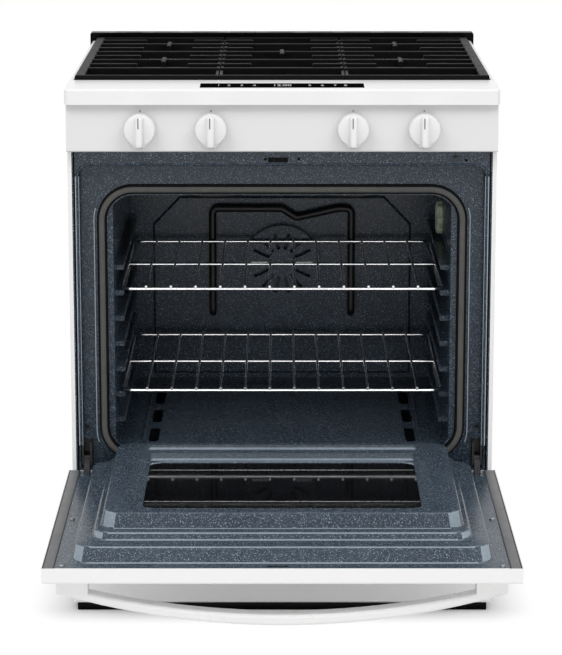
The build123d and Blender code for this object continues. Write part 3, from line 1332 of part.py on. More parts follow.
# Drawer
with BuildPart() as drawer_front:
    slab((-HALF_BODY, HALF_BODY), (DRAWER_FRONT, -DRAWER_FRONT_GAP), (DRAWER_BOTTOM, DRAWER_TOP))
    fillet(drawer_front.faces().sort_by(Axis.Y)[0].edges(), DRAWER_EDGE)
    slab(
        (-HALF_BODY + SHEET, HALF_BODY - SHEET),
        (DRAWER_FRONT + SHEET, -DRAWER_FRONT_GAP),
        (DRAWER_BOTTOM + SHEET, DRAWER_TOP - SHEET),
        Mode.SUBTRACT,
    )
    slab(
        (-HALF_BODY + SHEET, HALF_BODY - SHEET),
        (-DRAWER_FRONT_GAP - SHEET, -DRAWER_FRONT_GAP),
        (DRAWER_BOTTOM + SHEET, DRAWER_BOX_FLOOR + DRAWER_BOX_HEIGHT),
    )
    slab(
        (-SCOOP_WIDTH / 2, SCOOP_WIDTH / 2),
        (-DRAWER_FRONT_GAP - SCOOP_DEPTH, -DRAWER_FRONT_GAP),
        (DRAWER_TOP - SHEET, DRAWER_TOP),
        Mode.SUBTRACT,
    )
save(drawer_front, "drawer_front")

with BuildPart() as drawer_box:
    box_top = DRAWER_BOX_FLOOR + DRAWER_BOX_HEIGHT
    slab(
        (-DRAWER_BOX_HALF, DRAWER_BOX_HALF),
        (-DRAWER_FRONT_GAP, DRAWER_BOX_DEPTH),
        (DRAWER_BOX_FLOOR, box_top),
    )
    slab(
        (-DRAWER_BOX_HALF + SHEET, DRAWER_BOX_HALF - SHEET),
        (-DRAWER_FRONT_GAP + SHEET, DRAWER_BOX_DEPTH - SHEET),
        (DRAWER_BOX_FLOOR + SHEET, box_top),
        Mode.SUBTRACT,
    )
    for side in (-1, 1):
        slab(
            span(side, DRAWER_BOX_HALF, RAIL_IN - RUNNER_GAP),
            (RAIL_FRONT, DRAWER_BOX_DEPTH),
            (RUNNER_TOP + FIT, RUNNER_TOP + FIT + DRAWER_LIP_THICK),
        )
save(drawer_box, "drawer_box")
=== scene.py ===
"""Looks of a freestanding gas range with its oven door lying open."""

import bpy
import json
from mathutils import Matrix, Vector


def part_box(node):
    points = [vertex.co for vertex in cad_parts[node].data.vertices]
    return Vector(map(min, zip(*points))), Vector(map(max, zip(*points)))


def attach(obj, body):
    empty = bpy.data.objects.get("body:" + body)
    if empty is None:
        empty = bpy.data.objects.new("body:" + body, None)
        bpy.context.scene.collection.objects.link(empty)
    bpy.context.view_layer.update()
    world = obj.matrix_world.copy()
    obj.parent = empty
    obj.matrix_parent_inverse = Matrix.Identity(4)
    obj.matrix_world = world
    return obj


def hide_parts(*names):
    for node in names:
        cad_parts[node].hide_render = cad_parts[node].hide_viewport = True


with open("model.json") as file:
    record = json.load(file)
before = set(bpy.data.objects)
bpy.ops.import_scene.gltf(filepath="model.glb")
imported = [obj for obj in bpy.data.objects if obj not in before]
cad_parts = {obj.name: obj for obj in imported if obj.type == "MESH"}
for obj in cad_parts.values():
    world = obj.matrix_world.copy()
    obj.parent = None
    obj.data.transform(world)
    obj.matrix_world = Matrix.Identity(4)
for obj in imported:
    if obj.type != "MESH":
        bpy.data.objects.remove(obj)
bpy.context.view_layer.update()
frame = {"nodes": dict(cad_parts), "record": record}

import json
import logging
import math
from collections.abc import Callable, Iterable, Iterator, Sequence
from contextlib import contextmanager
from dataclasses import dataclass, replace
from enum import Enum

import bmesh
import bpy
from mathutils import Matrix, Vector

LOG = logging.getLogger("gas_range")
MM = 0.001
TOUCHING = 0.01 * MM
FACING = 0.9
BOTH_SIDES = (-1, 1)
IMAGE_LONG_SIDE = 655
SENSOR = 36.0
Colour = tuple[float, float, float]
Point = tuple[float, float, float]
Pair = tuple[float, float]
Lengths = tuple[float, ...]
Piece = bpy.types.Object
Socket = bpy.types.NodeSocket


class Turn(Enum):
    """How a round bar, made upright, is turned to lie along an axis."""

    Y = (math.pi / 2, 0.0, 0.0)
    Z = (0.0, 0.0, 0.0)


class Way(Enum):
    """A direction that a face or a screw head looks in."""

    FRONT = (0.0, -1.0, 0.0)
    REAR = (0.0, 1.0, 0.0)
    UP = (0.0, 0.0, 1.0)
    DOWN = (0.0, 0.0, -1.0)

    def fits(self, normal: Vector) -> bool:
        """Tells whether a normal points this way, or nearly."""
        return normal.dot(Vector(self.value)) > FACING


class Parts(Enum):
    """What is selected in edit mode."""

    POINTS = "VERT"
    EDGES = "EDGE"
    FACES = "FACE"


class Pattern(Enum):
    """What the surface of a finish shows from close by."""

    MOTTLE = "mottle"
    SPECKLE = "speckle"
    BRUSH = "brush"
    SPANGLE = "spangle"
    WEAVE = "weave"


# Modelling


def deselect() -> None:
    """Leaves edit mode and lets go of every object."""
    active = bpy.context.view_layer.objects.active
    if active and active.mode != "OBJECT":
        bpy.ops.object.mode_set(mode="OBJECT")
    bpy.ops.object.select_all(action="DESELECT")


def take_up(piece: Piece) -> None:
    """Makes one piece the only selected object and the active one.

    Args:
        piece: The piece.
    """
    deselect()
    piece.select_set(True)
    bpy.context.view_layer.objects.active = piece


def set_down(piece: Piece) -> Piece:
    """Writes a piece's place, turn and scale into its mesh.

    Args:
        piece: The piece.

    Returns:
        The same piece.
    """
    take_up(piece)
    bpy.ops.object.transform_apply(location=True, rotation=True, scale=True)
    return piece


def named(name: str) -> Piece:
    """Names the object that an operator has just added.

    Args:
        name: The name of the object and its mesh.

    Returns:
        The object.
    """
    piece = bpy.context.view_layer.objects.active
    piece.name = name
    piece.data.name = name
    return piece


def middle_of(node: str) -> Vector:
    """Returns the middle of a solid's box."""
    low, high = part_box(node)
    return (low + high) / 2


@contextmanager
def shaping(piece: Piece, *ways: Way, parts: Parts = Parts.FACES, whole: bool = False) -> Iterator[None]:
    """Opens a piece in edit mode, with nothing selected unless something is asked for.

    Args:
        piece: The piece to shape.
        ways: Directions whose faces are selected at the start.
        parts: What is selected.
        whole: Whether everything is selected at the start.

    Returns:
        A context that goes back to object mode at its end.
    """
    take_up(piece)
    bpy.ops.object.mode_set(mode="EDIT")
    bpy.ops.mesh.select_mode(type=parts.value)
    bpy.ops.mesh.select_all(action="SELECT" if whole else "DESELECT")
    if ways:
        choose_faces(piece, lambda middle, normal: any(way.fits(normal) for way in ways))
    yield
    bpy.ops.object.mode_set(mode="OBJECT")


def add_block(
    name: str, low: Sequence[float], high: Sequence[float], edge: float = 0.0, segments: int = 2
) -> Piece:
    """Adds a block between two corners.

    Args:
        name: The name of the new piece.
        low: Its lowest corner, in metres.
        high: Its highest corner, in metres.
        edge: How far its edges are rounded, if at all.
        segments: How many faces make each round.

    Returns:
        The block, with its place in its mesh.
    """
    deselect()
    low, high = Vector(low), Vector(high)
    bpy.ops.mesh.primitive_cube_add(size=1, location=(low + high) / 2)
    piece = named(name)
    piece.scale = high - low
    set_down(piece)
    if edge:
        soften(piece, edge, segments)
    return piece


def add_rod(
    name: str, radius: float, length: float, centre: Sequence[float], turn: Turn = Turn.Z, sides: int = 32
) -> Piece:
    """Adds a round bar.

    Args:
        name: The name of the new piece.
        radius: Its radius, in metres.
        length: Its length, in metres.
        centre: The middle of the bar.
        turn: The axis that it lies along.
        sides: How many sides make it round.

    Returns:
        The bar, with its place in its mesh.
    """
    deselect()
    bpy.ops.mesh.primitive_cylinder_add(
        vertices=sides, radius=radius, depth=length, location=centre, rotation=turn.value
    )
    return set_down(named(name))


def add_plate(
    name: str, size: Pair, centre: Sequence[float], corner: float,
    upright: bool = False, steps: int = 6,
) -> Piece:
    """Adds one flat face with round corners.

    Args:
        name: The name of the new piece.
        size: Its width along X and its other side, in metres.
        centre: The middle of the face.
        corner: The radius of its corners.
        upright: Whether it stands in the XZ plane in place of lying flat.
        steps: How many edges make each corner.

    Returns:
        The face, with its place in its mesh.
    """
    deselect()
    bpy.ops.mesh.primitive_plane_add(size=1, location=centre, rotation=(math.pi / 2 if upright else 0, 0, 0))
    piece = named(name)
    piece.scale = (size[0], size[1], 1)
    set_down(piece)
    with shaping(piece, parts=Parts.POINTS, whole=True):
        bpy.ops.mesh.bevel(offset=corner, segments=steps, affect="VERTICES", profile=0.5)
    return piece


def choose_faces(piece: Piece, test: Callable[[Vector, Vector], bool]) -> None:
    """Selects faces in edit mode.

    Args:
        piece: The piece that is open in edit mode.
        test: Tells from a face's middle and normal whether it is selected.
    """
    mesh = bmesh.from_edit_mesh(piece.data)
    for face in mesh.faces:
        face.select_set(test(face.calc_center_median(), face.normal))
    bmesh.update_edit_mesh(piece.data)


def choose_edges(piece: Piece, test: Callable[[bmesh.types.BMEdge], bool]) -> None:
    """Selects edges in edit mode.

    Args:
        piece: The piece that is open in edit mode.
        test: Tells whether an edge is selected.
    """
    mesh = bmesh.from_edit_mesh(piece.data)
    for edge in mesh.edges:
        edge.select_set(test(edge))
    bmesh.update_edit_mesh(piece.data)


def pull(offset: Point) -> None:
    """Extrudes the selected faces and moves them, in edit mode."""
    bpy.ops.mesh.extrude_region_move(TRANSFORM_OT_translate={"value": offset})


def resize(factors: Point, centre: Point) -> None:
    """Scales what is selected about a point, in edit mode."""
    bpy.ops.transform.resize(value=factors, center_override=centre)


def merge(piece: Piece) -> None:
    """Merges points that lie together and turns all faces outward.

    Args:
        piece: The piece to mend.
    """
    with shaping(piece, whole=True):
        bpy.ops.mesh.remove_doubles(threshold=TOUCHING)
        bpy.ops.mesh.normals_make_consistent(inside=False)


def run_modifier(piece: Piece, kind: str, **values: object) -> None:
    """Adds a modifier and applies it.

    Args:
        piece: The piece to change.
        kind: The modifier's type.
        values: The modifier's settings by name.
    """
    take_up(piece)
    modifier = piece.modifiers.new(kind.title(), kind)
    for key, value in values.items():
        setattr(modifier, key, value)
    bpy.ops.object.modifier_apply(modifier=modifier.name)


def smooth(piece: Piece, degrees: float = 35) -> None:
    """Shades a piece smooth where its faces meet at less than an angle."""
    take_up(piece)
    bpy.ops.object.shade_smooth_by_angle(angle=math.radians(degrees))


def soften(piece: Piece, width: float, segments: int = 3, degrees: float = 30) -> None:
    """Rounds the edges of a piece that are sharper than an angle, and shades it smooth."""
    run_modifier(
        piece, "BEVEL", width=width, segments=segments, limit_method="ANGLE",
        angle_limit=math.radians(degrees), harden_normals=False,
    )
    smooth(piece)


def cut(piece: Piece, cutter: Piece) -> None:
    """Takes the shape of a cutter out of a piece and removes the cutter."""
    run_modifier(piece, "BOOLEAN", operation="DIFFERENCE", object=cutter, solver="EXACT")
    bpy.data.objects.remove(cutter)


def copy_of(piece: Piece, name: str, place: Matrix) -> Piece:
    """Copies a piece with a mesh of its own.

    Args:
        piece: The piece to copy.
        name: The name of the copy.
        place: Where the copy's mesh is moved.

    Returns:
        The copy.
    """
    twin = piece.copy()
    twin.data = piece.data.copy()
    twin.name = name
    twin.data.name = name
    bpy.context.scene.collection.objects.link(twin)
    twin.data.transform(place)
    return twin


def join(name: str, pieces: Sequence[Piece]) -> Piece:
    """Joins pieces into one object.

    Args:
        name: The name of the whole.
        pieces: The pieces, which are used up.

    Returns:
        The joined piece.
    """
    deselect()
    for piece in pieces:
        piece.select_set(True)
    bpy.context.view_layer.objects.active = pieces[0]
    bpy.ops.object.join()
    return named(name)


def repeat(model: Piece, name: str, places: Iterable[Matrix]) -> Piece:
    """Sets a copy of a model at each place and removes the model.

    Args:
        model: The piece to repeat.
        name: The name of the whole.
        places: Where each copy's mesh is moved.

    Returns:
        The copies, joined.
    """
    copies = [copy_of(model, name, place) for place in places]
    bpy.data.objects.remove(model)
    return join(name, copies)


def dress(piece: Piece, finish: "Finish", body: str, slot: str, *stands_for: str) -> Piece:
    """Gives a piece its finish, its body and the nodes that it stands for.

    Args:
        piece: The finished piece.
        finish: What its surface is.
        body: The body that it moves with.
        slot: The record's material slot; not used.
        stands_for: The solid nodes that it is shown in place of.

    Returns:
        The piece.
    """
    piece.data.materials.clear()
    piece.data.materials.append(finish.material())
    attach(piece, body)
    if stands_for:
        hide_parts(*stands_for)
    LOG.info("%s rides on %s", piece.name, body)
    return piece


# Finishes


@dataclass
class NodeDesk:
    """Adds and joins nodes in one node tree."""

    tree: bpy.types.NodeTree

    def add(self, kind: str, **inputs: object) -> bpy.types.Node:
        """Adds a node and sets or links its inputs.

        Args:
            kind: The node's type name, without its ShaderNode prefix.
            inputs: The node's own settings, and values or sockets by input name, with _ for a space.

        Returns:
            The new node.
        """
        node = self.tree.nodes.new("ShaderNode" + kind)
        for key, value in inputs.items():
            if hasattr(node, key):
                setattr(node, key, value)
            else:
                self.feed(node.inputs[key.replace("_", " ")], value)
        return node

    def feed(self, socket: Socket, value: object) -> None:
        """Links an output to a socket, or sets the socket's value.

        Args:
            socket: The input socket.
            value: An output socket, a number or a colour.
        """
        if isinstance(value, Socket):
            self.tree.links.new(value, socket)
        elif isinstance(value, tuple) and socket.type == "RGBA":
            socket.default_value = (*value, 1.0)
        else:
            socket.default_value = value

    def math(self, operation: str, *values: object) -> Socket:
        """Adds a Math node.

        Args:
            operation: What it works out.
            values: Its inputs in order, as numbers or sockets.

        Returns:
            Its output.
        """
        node = self.tree.nodes.new("ShaderNodeMath")
        node.operation = operation
        for socket, value in zip(node.inputs, values):
            self.feed(socket, value)
        return node.outputs[0]

    def blend(self, share: object, first: object, second: object) -> Socket:
        """Mixes two colours.

        Args:
            share: How much of the second colour there is.
            first: The first colour.
            second: The second colour.

        Returns:
            The mixed colour.
        """
        node = self.add("Mix", data_type="RGBA", Factor=share)
        self.feed(node.inputs[6], first)
        self.feed(node.inputs[7], second)
        return node.outputs[2]

    def place(self) -> Socket:
        """Returns the object coordinates."""
        return self.add("TexCoord").outputs["Object"]

    def seen(self) -> Socket:
        """Tells what is seen from what gives light.

        Returns:
            1 for what the camera sees, also in a mirror or through glass, and 0 otherwise.
        """
        rays = self.add("LightPath").outputs
        bounced = self.math("MAXIMUM", rays["Is Glossy Ray"], rays["Is Transmission Ray"])
        return self.math("MAXIMUM", rays["Is Camera Ray"], bounced)


class EffectGroup:
    """A node group for an effect that more than one finish uses."""

    made: dict[str, bpy.types.NodeTree] = {}

    def __init__(self, name: str, inputs: dict[str, str], outputs: dict[str, str]) -> None:
        """Makes the group with its named sockets.

        Args:
            name: The group's name.
            inputs: Socket types by input name.
            outputs: Socket types by output name.
        """
        self.tree = bpy.data.node_groups.new(name, "ShaderNodeTree")
        for side, sockets in (("INPUT", inputs), ("OUTPUT", outputs)):
            for socket, kind in sockets.items():
                self.tree.interface.new_socket(name=socket, in_out=side, socket_type="NodeSocket" + kind)
        self.desk = NodeDesk(self.tree)
        self.given = self.tree.nodes.new("NodeGroupInput").outputs
        self.wanted = self.tree.nodes.new("NodeGroupOutput").inputs
        EffectGroup.made[name] = self.tree

    def give(self, name: str, socket: Socket) -> None:
        """Links a socket to one of the group's outputs."""
        self.tree.links.new(socket, self.wanted[name])


def mottle_group() -> None:
    """Cloudy colour and gloss, with a fine unevenness of the surface."""
    shades = {"Ground": "Color", "Tint": "Color"}
    group = EffectGroup(
        "mottle",
        {"Scale": "Float", "Grain": "Float", **shades, "Low": "Float", "High": "Float"},
        {"Colour": "Color", "Roughness": "Float", "Height": "Float"},
    )
    desk = group.desk
    cloud = desk.add("TexNoise", Vector=desk.place(), Scale=group.given["Scale"], Detail=4.0, Roughness=0.6)
    grain = desk.add("TexNoise", Vector=desk.place(), Scale=group.given["Grain"], Detail=2.0, Roughness=0.5)
    contrast = {"Value": cloud.outputs["Fac"], "From_Min": 0.3, "From_Max": 0.7}
    spread = desk.add("MapRange", **contrast)
    gloss = desk.add("MapRange", **contrast, To_Min=group.given["Low"], To_Max=group.given["High"])
    group.give("Colour", desk.blend(spread.outputs[0], group.given["Ground"], group.given["Tint"]))
    group.give("Roughness", gloss.outputs[0])
    group.give("Height", grain.outputs["Fac"])


def speckle_group() -> None:
    """Flecks of two sizes over a ground colour."""
    inputs = {"Scale": "Float", "Share": "Float", "Ground": "Color", "Fleck": "Color"}
    group = EffectGroup("speckle", inputs, {"Colour": "Color"})
    desk = group.desk
    dimmest = 0.25
    masks = []
    for times, weight in ((1.0, 1.0), (1.9, 0.6)):
        scale = desk.math("MULTIPLY", group.given["Scale"], times)
        cells = desk.add("TexVoronoi", Vector=desk.place(), Scale=scale)
        chance = desk.add("SeparateColor", Color=cells.outputs["Color"])
        reach = desk.math("MULTIPLY", desk.math("POWER", chance.outputs[0], 2.0), group.given["Share"])
        inside = desk.math("LESS_THAN", cells.outputs["Distance"], reach)
        bright = desk.math("MULTIPLY_ADD", chance.outputs[1], 1 - dimmest, dimmest)
        masks.append(desk.math("MULTIPLY", desk.math("MULTIPLY", inside, bright), weight))
    mask = desk.math("MAXIMUM", *masks)
    group.give("Colour", desk.blend(mask, group.given["Ground"], group.given["Fleck"]))


def brush_group() -> None:
    """Fine parallel scratches along one axis."""
    group = EffectGroup("brush", {"Scale": "Float", "Stretch": "Vector"}, {"Height": "Float"})
    desk = group.desk
    drawn = desk.add("Mapping", Vector=desk.place(), Scale=group.given["Stretch"])
    lines = desk.add("TexNoise", Vector=drawn.outputs[0], Scale=group.given["Scale"], Detail=3.0)
    group.give("Height", lines.outputs["Fac"])


def spangle_group() -> None:
    """Crystal patches of zinc, each of its own shade."""
    inputs = {"Scale": "Float", "Ground": "Color", "Tint": "Color"}
    group = EffectGroup("spangle", inputs, {"Colour": "Color"})
    desk = group.desk
    cells = desk.add("TexVoronoi", Vector=desk.place(), Scale=group.given["Scale"])
    shade = desk.add("SeparateColor", Color=cells.outputs["Color"]).outputs[0]
    group.give("Colour", desk.blend(shade, group.given["Ground"], group.given["Tint"]))


def weave_group() -> None:
    """Crossing strands of a braid."""
    group = EffectGroup("weave", {"Scale": "Float"}, {"Height": "Float"})
    desk = group.desk
    slant = math.radians(38)
    strands = []
    for side in BOTH_SIDES:
        turned = desk.add("Mapping", Vector=desk.place(), Rotation=(0.0, side * slant, 0.0))
        wave = desk.add("TexWave", Vector=turned.outputs[0], Scale=group.given["Scale"], bands_direction="X")
        strands.append(wave.outputs["Fac"])
    group.give("Height", desk.math("MAXIMUM", *strands))


@dataclass(frozen=True)
class Finish:
    """One surface finish, made as a node material on first use."""

    name: str
    ground: Colour
    tint: Colour
    pattern: Pattern = Pattern.MOTTLE
    scale: float = 12.0
    grain: float = 400.0
    rough: Pair = (0.3, 0.4)
    bump: float = 0.1
    depth: float = 0.0005
    metallic: float = 0.0
    specular: float = 0.5
    fleck: Colour = (0.5, 0.5, 0.5)
    fleck_scale: float = 330.0
    fleck_share: float = 0.8
    stretch: Point = (1.0, 1.0, 1.0)
    glow: float = 0.0

    def material(self) -> bpy.types.Material:
        """Returns the finish's material, and makes it the first time."""
        return bpy.data.materials.get(self._label) or self._make()

    @property
    def _label(self) -> str:
        """The material's own name, apart from the frame's plain slot materials."""
        return f"{self.name}_finish"

    def _make(self) -> bpy.types.Material:
        """Builds the node tree of the finish.

        Returns:
            The new material.
        """
        material = bpy.data.materials.new(self._label)
        material.use_nodes = True
        desk = NodeDesk(material.node_tree)

        def effect(name: str, **inputs: object) -> bpy.types.NodeOutputs:
            """Places one of the shared effects in the tree and returns its outputs."""
            return desk.add("Group", node_tree=EffectGroup.made[name], **inputs).outputs

        low, high = self.rough
        shades = {"Ground": self.ground, "Tint": self.tint}
        mottle = effect("mottle", Scale=self.scale, Grain=self.grain, **shades, Low=low, High=high)
        colour = mottle["Colour"]
        height = mottle["Height"]
        if self.pattern is Pattern.SPECKLE:
            flecks = {"Scale": self.fleck_scale, "Share": self.fleck_share, "Fleck": self.fleck}
            colour = effect("speckle", Ground=colour, **flecks)["Colour"]
        elif self.pattern is Pattern.BRUSH:
            height = effect("brush", Scale=self.grain, Stretch=self.stretch)["Height"]
        elif self.pattern is Pattern.SPANGLE:
            colour = effect("spangle", Scale=self.fleck_scale, Ground=colour, Tint=self.fleck)["Colour"]
        elif self.pattern is Pattern.WEAVE:
            height = effect("weave", Scale=self.fleck_scale)["Height"]
            colour = desk.blend(height, self.fleck, colour)
        bump = desk.add("Bump", Strength=self.bump, Distance=self.depth, Height=height)
        shader = desk.tree.nodes["Principled BSDF"].inputs
        desk.feed(shader["Base Color"], colour)
        desk.feed(shader["Roughness"], mottle["Roughness"])
        desk.feed(shader["Normal"], bump.outputs[0])
        shader["Metallic"].default_value = self.metallic
        shader["Specular IOR Level"].default_value = self.specular
        if self.glow:
            desk.feed(shader["Emission Color"], colour)
            shader["Emission Strength"].default_value = self.glow
        return material


WHITE_PAINT = Finish(
    "white_paint", (0.835, 0.835, 0.832), (0.830, 0.831, 0.829), scale=7, grain=520, rough=(0.28, 0.3),
    bump=0.05, specular=0.35,
)
# Painted shade: a greyer copy of the white paint for the control panel, which gets less light under the rim's
# overhang.
SHADED_PANEL_PAINT = replace(
    WHITE_PAINT, name="shaded_panel_paint", ground=(0.735, 0.736, 0.735), tint=(0.728, 0.729, 0.728)
)
SLATE_ENAMEL = Finish(
    "slate_enamel", (0.0125, 0.0215, 0.034), (0.018, 0.029, 0.044), Pattern.SPECKLE, scale=9, grain=700,
    rough=(0.22, 0.3), bump=0.06, fleck=(0.33, 0.43, 0.54), fleck_scale=640.0, fleck_share=0.47,
    specular=0.24,
)


def slate(name: str, ground: Colour, tint: Colour, fleck: Colour) -> Finish:
    """Returns the slate enamel in another shade."""
    return replace(SLATE_ENAMEL, name=name, ground=ground, tint=tint, fleck=fleck)


SLATE_LINER = slate("slate_liner", (0.028, 0.042, 0.060), (0.038, 0.054, 0.074), (0.42, 0.52, 0.62))
# Painted highlight: a pale slate for the bends and round corners of the door liner and its bands.
SLATE_BEND_HIGHLIGHT = slate("slate_bend_highlight", (0.19, 0.235, 0.28), (0.25, 0.30, 0.35), (0.50, 0.57, 0.62))
# Painted highlight: a pale slate for thin lines along the edges of the frame's recess and beside the gasket's
# groove.
SLATE_HIGHLIGHT_LINE = slate("slate_highlight_line", (0.34, 0.39, 0.44), (0.40, 0.45, 0.50), (0.55, 0.60, 0.64))
# Painted light: a lighter slate for the raised bands of the liner, as if they caught more light.
SLATE_BAND_LIT = slate("slate_band_lit", (0.075, 0.098, 0.122), (0.10, 0.126, 0.152), (0.50, 0.57, 0.62))
BLACK_ENAMEL = Finish(
    "black_enamel", (0.0010, 0.0010, 0.0011), (0.0022, 0.0022, 0.0024), scale=14, grain=600,
    rough=(0.25, 0.36), bump=0.05, specular=0.05,
)
CAST_IRON = Finish(
    "cast_iron", (0.0018, 0.0018, 0.0019), (0.0036, 0.0036, 0.0038), scale=45, grain=1400,
    rough=(0.42, 0.55), bump=0.2, depth=0.0006, specular=0.1,
)
BURNER_ALLOY = Finish(
    "burner_alloy", (0.62, 0.62, 0.61), (0.52, 0.52, 0.515), scale=60, grain=1100, rough=(0.4, 0.52),
    bump=0.2, metallic=0.35,
)
RACK_CHROME = Finish(
    "rack_chrome", (0.78, 0.78, 0.79), (0.66, 0.66, 0.67), scale=30, grain=900, rough=(0.12, 0.22),
    bump=0.04, metallic=1.0,
)
BRIGHT_STEEL = Finish(
    "bright_steel", (0.58, 0.58, 0.58), (0.48, 0.48, 0.48), Pattern.BRUSH, scale=40, grain=600,
    rough=(0.22, 0.34), bump=0.12, metallic=1.0, stretch=(1.0, 12.0, 1.0),
)
# Painted shade: a dark copy of the bright steel for the hinge arms and hinge screws, which sit in shadow.
SHADED_HINGE_STEEL = replace(
    BRIGHT_STEEL, name="shaded_hinge_steel", ground=(0.028, 0.028, 0.030), tint=(0.018, 0.018, 0.019),
    rough=(0.3, 0.42),
)
ZINC_STEEL = Finish(
    "zinc_steel", (0.47, 0.48, 0.49), (0.52, 0.53, 0.54), Pattern.SPANGLE, scale=18, grain=300,
    rough=(0.36, 0.5), bump=0.08, metallic=0.9, fleck=(0.60, 0.61, 0.62), fleck_scale=85.0,
)
DARK_TUBE = Finish(
    "dark_tube", (0.018, 0.018, 0.019), (0.034, 0.031, 0.029), scale=35, grain=900, rough=(0.34, 0.5),
    bump=0.2, metallic=0.6,
)
WHITE_PLASTIC = Finish(
    "white_plastic", (0.82, 0.82, 0.815), (0.80, 0.80, 0.80), scale=16, grain=1500, rough=(0.26, 0.34),
    bump=0.05,
)
BLACK_PLASTIC = Finish(
    "black_plastic", (0.013, 0.013, 0.013), (0.02, 0.02, 0.02), scale=30, grain=1800, rough=(0.45, 0.6),
    bump=0.2,
)
DARK_GLASS = Finish(
    "dark_glass", (0.003, 0.003, 0.0035), (0.005, 0.005, 0.006), scale=8, grain=60, rough=(0.03, 0.06),
    bump=0.004, specular=0.2,
)
STRIP_GLASS = Finish(
    "strip_glass", (0.002, 0.002, 0.0022), (0.003, 0.003, 0.0034), scale=8, grain=60, rough=(0.1, 0.16),
    bump=0.004, specular=0.0,
)
LAMP_GLASS = Finish(
    "lamp_glass", (0.10, 0.125, 0.085), (0.52, 0.56, 0.43), scale=75, grain=500, rough=(0.1, 0.18),
    bump=0.15, glow=0.12,
)
# The braid is kept dark as painted shade on the sides of the gasket's rope; the lighter crest finish below is
# its painted highlight.
GASKET_BRAID_SHADED = Finish(
    "gasket_braid", (0.014, 0.014, 0.014), (0.010, 0.010, 0.010), Pattern.WEAVE, scale=50, grain=900,
    rough=(0.5, 0.6), bump=0.6, depth=0.0010, fleck=(0.005, 0.005, 0.005), fleck_scale=95.0, specular=0.06,
)
# Painted highlight: a lighter copy of the braid for the crest of the gasket's rope.
GASKET_LIT_CREST = replace(
    GASKET_BRAID_SHADED, name="gasket_lit_crest", ground=(0.128, 0.125, 0.121), tint=(0.104, 0.102, 0.099),
    fleck=(0.07, 0.07, 0.069),
)
INSULATION_WOOL = Finish(
    "insulation_wool", (0.55, 0.50, 0.36), (0.66, 0.61, 0.46), scale=80, grain=900, rough=(0.85, 0.95),
    bump=0.9, depth=0.003,
)
CERAMIC = Finish(
    "ceramic", (0.72, 0.70, 0.65), (0.66, 0.64, 0.59), scale=70, grain=900, rough=(0.3, 0.4), bump=0.05
)
VALVE_BRASS = Finish(
    "valve_brass", (0.60, 0.44, 0.20), (0.50, 0.36, 0.16), Pattern.BRUSH, scale=50, grain=500,
    rough=(0.28, 0.4), bump=0.1, metallic=1.0, stretch=(1.0, 14.0, 1.0),
)
# A flat grey for the strips along the sides of the open door.
EDGE_GREY = Finish(
    "edge_grey", (0.17, 0.17, 0.175), (0.145, 0.145, 0.15), scale=22, grain=900, rough=(0.45, 0.55),
    bump=0.1, specular=0.3,
)
DARK_PRINT = Finish(
    "dark_print", (0.12, 0.12, 0.125), (0.15, 0.15, 0.155), scale=90, rough=(0.5, 0.6), bump=0.02
)
PALE_PRINT = replace(DARK_PRINT, name="pale_print", ground=(0.62, 0.63, 0.64), tint=(0.55, 0.56, 0.57))

PALETTE = {
    finish.name: finish
    for finish in (
        WHITE_PAINT, SLATE_ENAMEL, BLACK_ENAMEL, CAST_IRON, BURNER_ALLOY, RACK_CHROME, BRIGHT_STEEL,
        ZINC_STEEL, DARK_TUBE, WHITE_PLASTIC, BLACK_PLASTIC, DARK_GLASS, LAMP_GLASS, GASKET_BRAID_SHADED,
        INSULATION_WOOL, CERAMIC, VALVE_BRASS,
    )
}

OWN_FINISH = {
    "control_glass": STRIP_GLASS,
    # The control panel takes the greyer paint as painted shade.
    "control_panel": SHADED_PANEL_PAINT,
    # The hinge arms take the darker steel as painted shade.
    "hinge_arms": SHADED_HINGE_STEEL,
    # The latch bolt is black as painted shade inside its slot.
    "door_latch": BLACK_ENAMEL,
    # The door switch is black as painted shade in its hole.
    "door_switch": BLACK_PLASTIC,
}


# Sub-assemblies


@dataclass
class SolidNodes:
    """The solids that are shown as they are."""

    nodes: dict[str, Piece]
    record: dict

    def dress(self) -> None:
        """Gives each solid the finish of its slot, or one of its own."""
        slots = {part["node"]: part["material_slot"] for part in self.record["subparts"]}
        for name, node in self.nodes.items():
            finish = OWN_FINISH.get(name, PALETTE[slots[name]])
            node.data.materials.clear()
            node.data.materials.append(finish.material())


